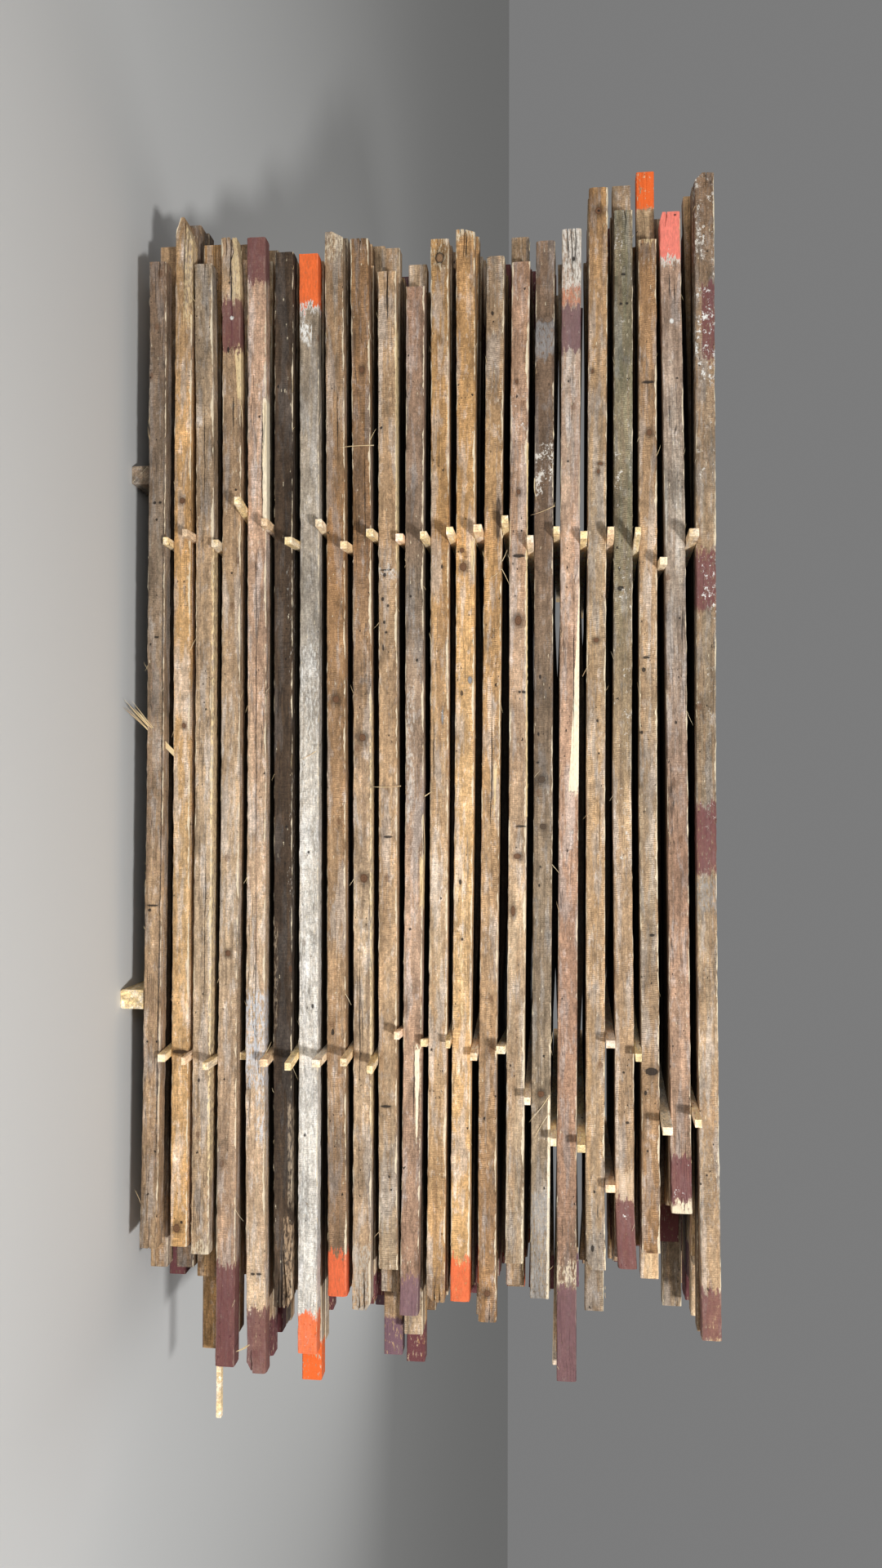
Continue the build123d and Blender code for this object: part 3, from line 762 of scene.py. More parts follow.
        Patch("straw", -1.0, 1.5, 0.028, 0.05, 0.55, 0.9),
        split(-1.4, 0.0, 0.4), split(0.5, 0.01, 0.7, 0.003),
        hole(1.1, -0.01, 0.018, 0.01),
        Patch("cream", 1.74, 1.9, cover=0.6, strength=0.6),
    ],
    2: [
        Patch("straw", -2.4, -1.9, 0.0, 0.05, 0.6, 0.6),
        split(-2.15, 0.002, 0.24, 0.005),
        knot(-1.2, 0.0, 0.03, 0.024),
        Knot("dark_brown", 0.991, 0.0, 0.018, 0.07, 0.5),
        knot(1.684, -0.008, 0.04, 0.034),
        hole(1.66, 0.012, 0.014, 0.012),
        knot(-0.3, 0.01, 0.026, 0.02),
    ],
    1: [
        Patch("pink_brown", -0.6, 0.3, cover=0.4, strength=0.5),
        Patch("pink_brown", 0.6, 1.5, cover=0.4, strength=0.5),
        split(-0.2, 0.028, 2.4, 0.004), split(1.0, 0.024, 1.0, 0.004),
        hole(-1.185, 0.014, 0.012, 0.014), hole(-1.185, -0.008, 0.012, 0.014),
        hole(-1.117, 0.0, 0.012, 0.012), hole(-0.649, 0.004, 0.01, 0.02),
        hole(0.412, -0.002, 0.009, 0.056), hole(0.43, -0.014, 0.014, 0.014), hole(0.947, 0.02),
        hole(0.947, -0.018),
    ],
}


def grain(base, streak, *shares):
    """What sawn wood takes: two tones, then shares of streaks, blotches, saw marks and cracks."""
    names = ("Streaks", "Blotches", "Saw Marks", "Cracks")
    return {"Tone": base, "Streak Tone": tone(streak), **dict(zip(names, shares))}


def timber_wood(w, place, seed, kind, half_height, worn):
    """A long timber's wood with torn arrises that are partly a painted highlight: its colour and height,
    and its ragged places.
    """
    wood = w.effect(SAWN_WOOD, {"Place": place, "Seed": seed, **kind})
    ragged = w.effect(RAGGED, {"Place": place, "Seed": seed})
    values = {
        "Color": wood["Color"],
        "Place": place,
        "Seed": seed,
        "Wear": ragged["Wear"],
        "Tone": tone("cream"),
        "Half Height": half_height,
        "Amount": worn,
    }
    return w.effect(ARRIS, values)["Color"], wood["Height"], ragged


def finish_timber(w, shader, colour, height, place, seed):
    """The end grain, and then the surface."""
    end = w.effect(END_GRAIN, {"Color": colour, "Place": place, "Seed": seed})
    finish_surface(w, shader, end["Color"], w.plus(height, end["Height"]))


def marked(w, colour, place, ragged, mark):
    """A colour with one mark added. A mark's fields are named as its effect's sockets are."""
    values = {name.replace("_", " ").title(): value for name, value in mark._asdict().items()}
    values.update({"Tone": tone(mark.tone), "Color": colour, "Place": place})
    if isinstance(mark, Drops):
        return w.effect(SPLATTER, values)["Color"]
    flat_edge = isinstance(mark, Patch)
    values["Place"] = ragged["Place" if flat_edge else "Wavy Place"]
    values["Wear"] = ragged["Wear"]
    return w.effect(PATCH if flat_edge else KNOT, values)["Color"]


def front_timber_material(number, timber):
    """The finish of one front timber, with its own tones, marks and grain."""
    look = LOOKS[number]
    material, w, shader = new_material(f"old_timber_{number:02d}")
    place = w.attribute("timber_place")["Vector"]
    along = w.spread(w.split(place)[0], timber.left, timber.right, 0.0, 1.0)
    tones = w.ramp(along, list(zip(TONE_PLACES, look.tones.split())))
    kind = grain(tones, look.streak, look.streaks, look.blotches, look.saw, look.cracks)
    seed = number * SEED_STEP
    colour, height, ragged = timber_wood(w, place, seed, kind, timber.half_height, look.worn)
    for mark in MARKS[number]:
        colour = marked(w, colour, place, ragged, mark)
    finish_timber(w, shader, colour, height, place, seed)
    return material


# Tones of the timbers that don't lie in front, from one end of the range of moods to the other
HIDDEN_TONES = [
    (0.0, "umber"),
    (0.12, "grey_brown"),
    (0.26, "brown"),
    (0.4, "orange_tan"),
    (0.52, "tan"),
    (0.64, "drab"),
    (0.78, "pale_tan"),
    (0.9, "honey"),
    (1.0, "ash"),
]
END_PAINTS = [(0.0, "maroon"), (0.3, "orange"), (0.5, "rust"), (0.7, "purple"), (0.9, "salmon")]

# The paint on the ends that show behind the front row, by course, row and side
SHOWN_PAINTS = {
    (20, 1, 0): "orange",
    (21, 6, 1): "maroon",
    (15, 2, 1): "orange",
    (14, 1, 1): "orange",
    (11, 2, 1): "maroon",
    (10, 2, 1): "purple",
    (9, 1, 1): "maroon",
    (7, 1, 1): "orange",
    (5, 1, 1): "maroon",
    (5, 2, 1): "maroon",
    (5, 3, 1): "maroon",
    (5, 5, 1): "maroon",
    (3, 2, 1): "maroon",
}
# Rows up to this one have no paint but what the list gives. Behind them it is drawn.
LAST_LISTED_ROW = 3
# What the timbers behind the front row share: how far their moods set their grain apart, half
# their usual height, and how torn their arrises are, with the painted highlight along them
MOOD_STEP = 97.0
USUAL_HALF_HEIGHT = 0.0375
USUAL_EDGE_WEAR_AND_HIGHLIGHT = 0.45

# How far paint reaches from an end, how long an end is free of the painted shade inside the stack,
# over what length the painted shade then comes in, and how dark it is
PAINT_REACH = 0.14
UNSHADED_END = 0.12
PAINTED_SHADE_FADE = 0.5
DARKEST_PAINTED_SHADE = 0.88

# Merging of CAD corners: their distance, and the angle between faces of one plane
SAME_PLACE = 1e-5
SAME_PLANE = 0.0005

# Measuring of timbers: the least gap between neighbours, the greatest width, the least distance
# between stations, and the loss of height that makes a station a broken one
SIDE_GAP = 0.0015
WIDEST_TIMBER = 0.0745
STATION_GAP = 0.03
BROKEN_LOSS = 0.002

# Cuts across the timbers, as first place, end and step. Those across the front ones are set off
# by up to FRONT_OFFSET.
FRONT_CUTS = (-2.44, 2.45, 0.03)
FRONT_OFFSET = 0.008
BEHIND_CUTS = ((-2.44, -1.7, 0.045), (-1.5, 1.3, 0.3), (1.4, 2.45, 0.045))

# Edges as long as this are divided. A point is on an arris where its shares of the half width
# and the half height add up to more than ARRIS_REACH.
FACE_EDGE = 0.05
ARRIS_REACH = 1.85

# The usual height from one course to the next, which tells stickers apart
COURSE_PITCH = 0.1023


def hidden_timber_material():
    """One finish for all timbers behind the front row. Each has its own mood and end paint."""
    material, w, shader = new_material("old_timber_behind")
    place = w.attribute("timber_place")["Vector"]
    mood = w.attribute("timber_mood")["Fac"]
    seed = w.times(mood, MOOD_STEP)
    kind = grain(w.ramp(mood, HIDDEN_TONES), "brown", 0.5, 0.8, 0.5, 0.6)
    colour, height, ragged = timber_wood(
        w, place, seed, kind, USUAL_HALF_HEIGHT, USUAL_EDGE_WEAR_AND_HIGHLIGHT
    )
    # Painted shade: darker deeper inside the stack, far from the open ends
    colour = w.scaled(colour, w.less(w.attribute("painted_shade")["Fac"], DARKEST_PAINTED_SHADE))
    wear = ragged["Wear"]
    reach = w.attribute("end_reach")["Fac"]
    painted = w.attribute("end_paint")["Fac"]
    edge = w.plus(reach, w.times(w.minus(wear, 0.5), 0.06))
    mask = w.product(
        w.inverse(w.rise(edge, PAINT_REACH, PAINT_REACH + 0.015)),
        w.rise(painted, 0.02, 0.03),
        w.rise(wear, 0.36, 0.44),
    )
    colour = w.mix(mask, colour, w.ramp(painted, END_PAINTS, "CONSTANT"))
    finish_timber(w, shader, colour, height, place, seed)
    return material


def crosswise_wood(w, seed, kind):
    """Sawn wood with its grain across the stack: its colour and height."""
    place = w.attribute("timber_place")["Vector"]
    turned = w.node("Mapping", {"Vector": place, "Rotation": (0, 0, math.pi / 2)}).outputs[0]
    wood = w.effect(SAWN_WOOD, {"Place": turned, "Seed": seed, **kind})
    return wood["Color"], wood["Height"]


def sticker_material():
    """Fresh pale boards, each of its own tone."""
    material, w, shader = new_material("sticker_wood")
    mood = w.attribute("timber_mood")["Fac"]
    tones = w.ramp(mood, [(0.0, "pine"), (0.4, "straw"), (0.8, "peach"), (1.0, "cream")])
    kind = grain(tones, "honey", 0.2, 0.15, 0.2, 0.0)
    colour, height = crosswise_wood(w, w.times(mood, 53.0), kind)
    finish_surface(w, shader, w.scaled(colour, 1.22), height)
    return material


def bearer_material(side, dull, streak):
    """A dusty bearer."""
    material, w, shader = new_material(f"bearer_wood_{side}")
    colour, height = crosswise_wood(w, 4.4, grain(tone(dull), streak, 0.5, 0.9, 0.3, 0.5))
    finish_surface(w, shader, colour, height)
    return material


def fibre_material():
    """Pale torn wood that changes its tone from place to place."""
    material, w, shader = new_material("torn_fibre")
    place = w.node("TexCoord", {}).outputs["Object"]
    spots = w.cloud(place, (9.0, 9.0, 9.0), 2.0, 0.55)
    stops = [(0.0, "honey"), (0.5, "straw"), (1.0, "cream")]
    finish_surface(w, shader, w.ramp(w.spread(spots, 0.3, 0.7, 0.0, 1.0), stops), spots)
    return material


def only(piece):
    """Selects one piece and nothing else."""
    bpy.ops.object.select_all(action="DESELECT")
    piece.select_set(True)
    bpy.context.view_layer.objects.active = piece


def editing(piece, kind="VERT", chosen="DESELECT"):
    """Enters edit mode on one piece, with vertices, edges or faces all or none selected."""
    only(piece)
    bpy.ops.object.mode_set(mode="EDIT")
    bpy.ops.mesh.select_mode(type=kind)
    bpy.ops.mesh.select_all(action=chosen)


def leave():
    bpy.ops.object.mode_set(mode="OBJECT")


def read(elements, field, width, kind=float):
    """A field of a mesh's vertices or edges, one row for each."""
    found = np.zeros(len(elements) * width, kind)
    elements.foreach_get(field, found)
    return found.reshape(-1, width)


def corners_of(piece):
    return read(piece.data.vertices, "co", 3)


def edge_runs(piece):
    """How far each edge of a piece runs along X, Y and Z."""
    corners = corners_of(piece)
    ends = read(piece.data.edges, "vertices", 2, int)
    return corners[ends[:, 1]] - corners[ends[:, 0]]


def choose(piece, elements, chosen):
    """In edit mode, selects the vertices or edges that an array of yes and no marks."""
    leave()
    getattr(piece.data, elements).foreach_set("select", chosen)
    bpy.ops.object.mode_set(mode="EDIT")


def turn_outwards(piece):
    editing(piece, chosen="SELECT")
    bpy.ops.mesh.normals_make_consistent(inside=False)
    leave()


def apply_place(piece):
    """Moves a piece's place, turn and size into its mesh."""
    only(piece)
    bpy.ops.object.transform_apply(location=True, rotation=True, scale=True)


def copy_of(names, label):
    """A new piece from CAD nodes, merged into closed shells without their diagonals."""
    bpy.ops.object.select_all(action="DESELECT")
    for name in names:
        frame["nodes"][name].select_set(True)
    bpy.context.view_layer.objects.active = frame["nodes"][names[0]]
    bpy.ops.object.duplicate()
    if len(names) > 1:
        bpy.ops.object.join()
    piece = bpy.context.view_layer.objects.active
    piece.name = label
    piece.parent = None
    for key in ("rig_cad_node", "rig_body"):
        if key in piece:
            del piece[key]
    editing(piece, chosen="SELECT")
    bpy.ops.mesh.remove_doubles(threshold=SAME_PLACE)
    bpy.ops.mesh.dissolve_limited(angle_limit=SAME_PLANE)
    leave()
    return piece


def cut_across(piece, places, axis=0):
    """Cuts right through a piece at each place along an axis, for points to shape it by."""
    editing(piece)
    normal = Vector((0, 0, 0))
    normal[axis] = 1
    for place in places:
        bpy.ops.mesh.select_all(action="SELECT")
        bpy.ops.mesh.bisect(plane_co=normal * place, plane_no=normal)
    leave()


def divide(piece, direction, shortest, cuts):
    """Divides the edges that run along an axis and are longer than shortest."""
    runs = edge_runs(piece)
    length = np.linalg.norm(runs, axis=1)
    aligned = np.abs(runs[:, direction]) > 0.98 * length
    editing(piece, "EDGE")
    choose(piece, "edges", aligned & (length > shortest))
    bpy.ops.mesh.subdivide(number_cuts=cuts)
    leave()


def parts_of(piece):
    """Separates a piece into its loose parts."""
    editing(piece, chosen="SELECT")
    bpy.ops.mesh.separate(type="LOOSE")
    leave()
    return list(bpy.context.selected_objects)


def joined(pieces, label):
    """Several pieces made one."""
    bpy.ops.object.select_all(action="DESELECT")
    for piece in pieces:
        piece.select_set(True)
    bpy.context.view_layer.objects.active = pieces[0]
    bpy.ops.object.join()
    pieces[0].name = label
    return pieces[0]


def modify(piece, kind, **settings):
    """Adds a modifier to a piece and applies it."""
    only(piece)
    modifier = piece.modifiers.new(kind.lower(), kind)
    for name, value in settings.items():
        setattr(modifier, name, value)
    bpy.context.view_layer.update()
    bpy.ops.object.modifier_apply(modifier=modifier.name)


def store(piece, name, values):
    """Keeps a value or a place for each point of a piece, for its material to read."""
    values = np.asarray(values, np.float32)
    kind, field = ("FLOAT", "value") if values.ndim == 1 else ("FLOAT_VECTOR", "vector")
    piece.data.attributes.new(name, kind, "POINT").data.foreach_set(field, values.ravel())


def set_material(piece, material):
    """Gives a piece one material, in place of what it has."""
    piece.data.materials.clear()
    piece.data.materials.append(material)


# Where a timber lies: the row, its middle across the stack, its axis as heights at places
# along it, half its width and height, and its ends.
Timber = namedtuple("Timber", "row y xs zs half_width half_height left right")


def timbers_in(number):
    """The timbers of a course, measured on its CAD node, front row first."""
    corners = np.round(corners_of(frame["nodes"][f"course_{number:02d}"]), 6)
    corners = np.unique(corners, axis=0)
    corners = corners[np.argsort(corners[:, 1])]
    groups = []
    for group in np.split(corners, np.flatnonzero(np.diff(corners[:, 1]) > SIDE_GAP) + 1):
        if groups and group[:, 1].max() - groups[-1][:, 1].min() < WIDEST_TIMBER:
            groups[-1] = np.vstack([groups[-1], group])
        else:
            groups.append(group)
    found = []
    for row, group in enumerate(groups):
        group = group[np.argsort(group[:, 0])]
        rings = np.split(group, np.flatnonzero(np.diff(group[:, 0]) > STATION_GAP) + 1)
        xs = [ring[:, 0].mean() for ring in rings]
        lows = np.array([ring[:, 2].min() for ring in rings])
        highs = np.array([ring[:, 2].max() for ring in rings])
        middles = (lows + highs) / 2
        half = float(np.median(highs - lows)) / 2
        whole = (highs - lows) > 2 * half - BROKEN_LOSS
        line = np.interp(xs, np.array(xs)[whole], middles[whole])
        from_low, from_high = lows + half, highs - half
        nearer = np.where(abs(from_low - line) < abs(from_high - line), from_low, from_high)
        zs = np.where(whole, middles, nearer)
        y_low, y_high = group[:, 1].min(), group[:, 1].max()
        ends = group[:, 0].min(), group[:, 0].max()
        found.append(Timber(row, (y_low + y_high) / 2, xs, zs, (y_high - y_low) / 2, half, *ends))
    return found


def end_paint(number, row, side, random):
    """The place of an end's paint in END_PAINTS, or 0 where it has none."""
    drawn = random.choice((None, None, None, None, "maroon", "maroon", "maroon", "purple"))
    if row <= LAST_LISTED_ROW:
        drawn = SHOWN_PAINTS.get((number, row, side))
    starts = {name: start for start, name in END_PAINTS}
    return starts[drawn] + 0.1 if drawn else 0.0


def store_places(piece, number, timbers, random):
    """Stores each point's place in its own timber, and the timber's mood, painted shade and end paint.
    """
    corners = corners_of(piece)
    middles = np.array([t.y for t in timbers])
    nearest = np.abs(corners[:, 1][:, None] - middles[None, :]).argmin(axis=1)
    places = corners.copy()
    mood, paint, reach, painted_shade = np.zeros((4, len(corners)))
    for index, timber in enumerate(timbers):
        mine = nearest == index
        places[mine, 1] -= timber.y
        places[mine, 2] -= np.interp(corners[mine, 0], timber.xs, timber.zs)
        mood[mine] = random.random()
        x = corners[mine, 0]
        from_left, from_right = x - timber.left, timber.right - x
        reach[mine] = np.minimum(from_left, from_right)
        # Painted shade: darker away from the open ends, but not on the back row's rear face or the top
        # course's upper side
        painted_shade[mine] = np.clip((reach[mine] - UNSHADED_END) / PAINTED_SHADE_FADE, 0, 1)
        if timber.row == ROWS - 1:
            painted_shade[mine] *= places[mine, 1] < 0
        if number == COURSES:
            painted_shade[mine] *= places[mine, 2] < 0
        paints = [end_paint(number, timber.row, side, random) for side in (0, 1)]
        paint[mine] = np.where(from_left < from_right, paints[0], paints[1])
    store(piece, "timber_place", places)
    store(piece, "timber_mood", mood)
    store(piece, "end_paint", paint)
    store(piece, "end_reach", reach)
    store(piece, "painted_shade", painted_shade)


def roughen(piece, size, stretch, depth, middle=1.0, contrast=1.0, points=None, way="NORMAL"):
    """Moves a surface, or some points of it, in and out by a stretched cloud pattern."""
    texture = bpy.data.textures.new("clouds", "CLOUDS")
    texture.noise_scale = size
    texture.noise_depth = 2
    texture.contrast = contrast
    guide = bpy.data.objects.new("cloud_guide", None)
    bpy.context.scene.collection.objects.link(guide)
    guide.scale = stretch
    group = ""
    if points is not None:
        group = "moved"
        members = np.flatnonzero(points).tolist()
        piece.vertex_groups.new(name=group).add(members, 1.0, "REPLACE")
    modify(
        piece,
        "DISPLACE",
        texture=texture,
        texture_coords="OBJECT",
        texture_coords_object=guide,
        strength=depth,
        mid_level=middle,
        direction=way,
        vertex_group=group,
    )
    piece.vertex_groups.clear()
    bpy.data.objects.remove(guide)
    bpy.data.textures.remove(texture)


def on_arris(piece, timber):
    """Yes for the points of a timber that lie on its long edges."""
    corners = corners_of(piece)
    across = np.abs(corners[:, 1] - timber.y) / timber.half_width
    up = corners[:, 2] - np.interp(corners[:, 0], timber.xs, timber.zs)
    return across + np.abs(up) / timber.half_height > ARRIS_REACH


def split_stack():
    """The front timbers, cut fine enough to be chipped and torn, and the timbers behind them."""
    names = [f"course_{number:02d}" for number in range(1, COURSES + 1)]
    in_front, not_in_front = [], []
    for part in parts_of(copy_of(names, "all_timbers")):
        group = in_front if corners_of(part)[:, 1].mean() < FRONT_ROW_END else not_in_front
        group.append(part)
    fronts = joined(in_front, "front_timbers")
    behind = joined(not_in_front, "timbers_behind")
    random = Random(5)
    offset = [random.uniform(-FRONT_OFFSET, FRONT_OFFSET) for _ in np.arange(*FRONT_CUTS)]
    cut_across(fronts, np.arange(*FRONT_CUTS) + offset)
    divide(fronts, 2, FACE_EDGE, 5)
    divide(fronts, 1, FACE_EDGE, 3)
    for cuts in BEHIND_CUTS:
        cut_across(behind, np.arange(*cuts))
    return fronts, behind


# Cracks that run in from the ends of front timbers, by course: side 0 is the left end and 1 the
# right, and z is the height from the timber's axis.
EndCrack = namedtuple("EndCrack", "side z length width", defaults=(0.004,))
END_CRACKS = {
    22: [(0, 0.006, 0.07)],
    21: [(0, -0.012, 0.06)],
    19: [(0, 0.008, 0.09)],
    18: [(1, 0.0, 0.07), (1, -0.016, 0.05, 0.006)],
    17: [(0, 0.014, 0.14), (0, 0.0, 0.12), (0, -0.016, 0.09)],
    15: [(0, -0.01, 0.08)],
    14: [(1, 0.006, 0.08)],
    13: [(0, 0.0, 0.12, 0.007), (0, -0.02, 0.06)],
    12: [(1, -0.004, 0.10, 0.006), (1, 0.016, 0.07)],
    10: [(0, 0.004, 0.16, 0.006)],
    9: [(1, 0.012, 0.16, 0.006), (1, -0.008, 0.12), (0, 0.004, 0.09)],
    6: [(1, 0.012, 0.3, 0.012), (1, -0.004, 0.22, 0.008), (1, -0.02, 0.14, 0.007)],
    5: [(1, -0.018, 0.09, 0.006)],
    4: [(0, 0.004, 0.22, 0.007), (0, -0.014, 0.1)],
    3: [(0, 0.008, 0.1)],
    2: [(0, 0.002, 0.2, 0.008), (0, -0.016, 0.12, 0.006)],
    1: [(1, 0.004, 0.12), (0, 0.01, 0.1)],
}
# How deep a crack goes behind the front face, and how far before the end its blade starts
CRACK_DEPTH = 0.02
CRACK_START = 0.01

# Where the front of a timber is torn away above a line, by course: from start to end along the
# stack, from low_start to low_end above the axis, and to a depth behind the front face.
Torn = namedtuple("Torn", "start end low_start low_end depth")
TORN = {
    17: [(-0.83, -0.037, 0.036, 0.0, 0.005)],
    16: [(1.13, 1.887, 0.026, 0.026, 0.003)],
    15: [(-1.395, 0.058, 0.031, 0.031, 0.004)],
    14: [(-0.14, 0.06, 0.016, 0.012, 0.003)],
    11: [(0.958, 1.3, 0.008, 0.018, 0.004), (0.217, 0.407, 0.024, 0.026, 0.004)],
    5: [(-1.6, -1.09, 0.022, 0.022, 0.005)],
    4: [(-2.27, -1.93, 0.004, 0.006, 0.006), (-1.81, -1.6, 0.012, 0.025, 0.005)],
    3: [(-1.0, -0.2, 0.03, 0.028, 0.004)],
    2: [(-2.4, -1.95, 0.004, 0.012, 0.006)],
}
TORN_MARGIN = 0.02


def unit_bar(label, height=0.0):
    """A box of unit size that runs along X from the origin."""
    bpy.ops.object.select_all(action="DESELECT")
    bpy.ops.mesh.primitive_cube_add(size=1, location=(0.5, 0, height))
    bar = bpy.context.object
    bar.name = label
    apply_place(bar)
    return bar


def crack_cutter():
    """A long thin wedge, sharp at its inner end, for opening a crack in an end."""
    cutter = unit_bar("crack_cutter")
    inner = corners_of(cutter)[:, 0] > 0.5
    editing(cutter)
    choose(cutter, "vertices", inner)
    bpy.ops.transform.resize(value=(1, 1, 0.04))
    bpy.ops.mesh.select_all(action="SELECT")
    bpy.ops.mesh.subdivide(number_cuts=3)
    leave()
    return cutter


def torn_cutter():
    """A box with many stations along it, for tearing away the top of a front face."""
    cutter = unit_bar("torn_cutter", 0.5)
    divide(cutter, 0, 0.5, 40)
    return cutter


def blade_from(cutter, size, place, slope):
    """A copy of a cutter, sized, sloped along X and put in place."""
    only(cutter)
    bpy.ops.object.duplicate()
    blade = bpy.context.object
    blade.scale = size
    blade.location = place
    blade.rotation_euler = (0, slope, 0)
    apply_place(blade)
    return blade


def take_away(piece, blade):
    """Cuts one closed piece from another and removes it."""
    modify(piece, "BOOLEAN", operation="DIFFERENCE", solver="MANIFOLD", object=blade)
    bpy.data.objects.remove(blade)


def tear(piece, timber, torn, cutter):
    """Takes away a shallow strip of the front face along its upper edge."""
    front = timber.y - timber.half_width
    low = np.interp(torn.start, timber.xs, timber.zs) + torn.low_start
    rise = np.interp(torn.end, timber.xs, timber.zs) + torn.low_end - low
    length = torn.end - torn.start
    size = (length, torn.depth + TORN_MARGIN, 0.1)
    place = (torn.start, front + (torn.depth - TORN_MARGIN) / 2, low)
    blade = blade_from(cutter, size, place, -math.atan2(rise, length))
    roughen(blade, 0.03, (3, 1, 1), 0.01, 0.5, way="Z")
    take_away(piece, blade)


def open_crack(piece, timber, crack, cutter, random):
    """Cuts a wedge into the front corner of an end, wavering along its length."""
    end, way = (timber.left, 1) if crack.side == 0 else (timber.right, -1)
    level = np.interp(end, timber.xs, timber.zs) + crack.z
    size = (way * (crack.length + CRACK_START), 2 * CRACK_DEPTH, crack.width)
    place = (end - way * CRACK_START, timber.y - timber.half_width, level)
    blade = blade_from(cutter, size, place, random.uniform(-0.05, 0.05))
    turn_outwards(blade)
    roughen(blade, 0.02, (1, 1, 1), 0.012, 0.5, way="Z")
    take_away(piece, blade)


fronts, behind = split_stack()
courses = {number: timbers_in(number) for number in range(1, COURSES + 1)}
for number, timbers in courses.items():
    assert len(timbers) == ROWS, (number, len(timbers))

front_pieces = {}
for part in parts_of(fronts):
    middle = corners_of(part)[:, 2].mean()
    number = min(courses, key=lambda n: abs(np.mean(courses[n][0].zs) - middle))
    part.name = f"front_timber_{number:02d}"
    front_pieces[number] = part

behind_parts = {number: [] for number in courses}
for part in parts_of(behind):
    corners = corners_of(part)
    x, z = corners[:, 0].mean(), (corners[:, 2].max() + corners[:, 2].min()) / 2
    second = {number: timbers[1] for number, timbers in courses.items()}
    number = min(second, key=lambda n: abs(np.interp(x, second[n].xs, second[n].zs) - z))
    behind_parts[number].append(part)

hidden_wood = hidden_timber_material()
random = Random(11)
crack_random = Random(17)
crack_blade = crack_cutter()
torn_blade = torn_cutter()
for number, timbers in courses.items():
    front, timber = front_pieces[number], timbers[0]
    for torn in TORN.get(number, []):
        tear(front, timber, Torn(*torn), torn_blade)
    for crack in END_CRACKS.get(number, []):
        open_crack(front, timber, EndCrack(*crack), crack_blade, crack_random)
    roughen(front, 0.05, (6, 1, 1), 0.0014)
    roughen(front, 0.012, (2, 1, 1), 0.0026, 1.0, 2.6, on_arris(front, timber))
    store_places(front, number, timbers[:1], random)
    rest = joined(behind_parts[number], f"timbers_behind_{number:02d}")
    store_places(rest, number, timbers[1:], random)
    set_material(front, front_timber_material(number, timber))
    set_material(rest, hidden_wood)
    for piece in (front, rest):
        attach(piece, "root")
        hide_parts(f"course_{number:02d}")

bpy.data.objects.remove(crack_blade)
bpy.data.objects.remove(torn_blade)

sticker_wood = sticker_material()
for side in ("left", "right"):
    boards = copy_of([f"stickers_{side}"], f"sticker_boards_{side}")
    sharp = math.radians(40)
    modify(boards, "BEVEL", width=0.0012, segments=2, limit_method="ANGLE", angle_limit=sharp)
    cut_across(boards, np.arange(-0.6, 0.61, 0.05), axis=1)
    roughen(boards, 0.03, (1, 5, 1), 0.0012)
    corners = corners_of(boards)
    store(boards, "timber_place", corners)
    store(boards, "timber_mood", np.mod(np.round(corners[:, 2] / COURSE_PITCH) * 0.618, 1.0))
    set_material(boards, sticker_wood)
    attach(boards, "root")
    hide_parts(f"stickers_{side}")

for side, dull, streak in (("left", "grey_brown", "umber"), ("right", "pine", "drab")):
    block = copy_of([f"bearer_{side}"], f"cross_bearer_{side}")
    cut_across(block, np.arange(-0.5, 0.61, 0.04), axis=1)
    divide(block, 2, FACE_EDGE, 4)
    divide(block, 0, 0.04, 4)
    roughen(block, 0.03, (1, 4, 1), 0.003)
    store(block, "timber_place", corners_of(block))
    set_material(block, bearer_material(side, dull, streak))
    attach(block, "root")
    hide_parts(f"bearer_{side}")

strip = copy_of(["loose_lath"], "lath_between_courses")
cut_across(strip, np.arange(1.1, 2.46, 0.05))
roughen(strip, 0.03, (5, 1, 1), 0.0014)
corners = corners_of(strip)
store(strip, "timber_place", corners)
store(strip, "timber_mood", np.full(len(corners), 0.5))
set_material(strip, sticker_wood)
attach(strip, "root")
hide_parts("loose_lath")


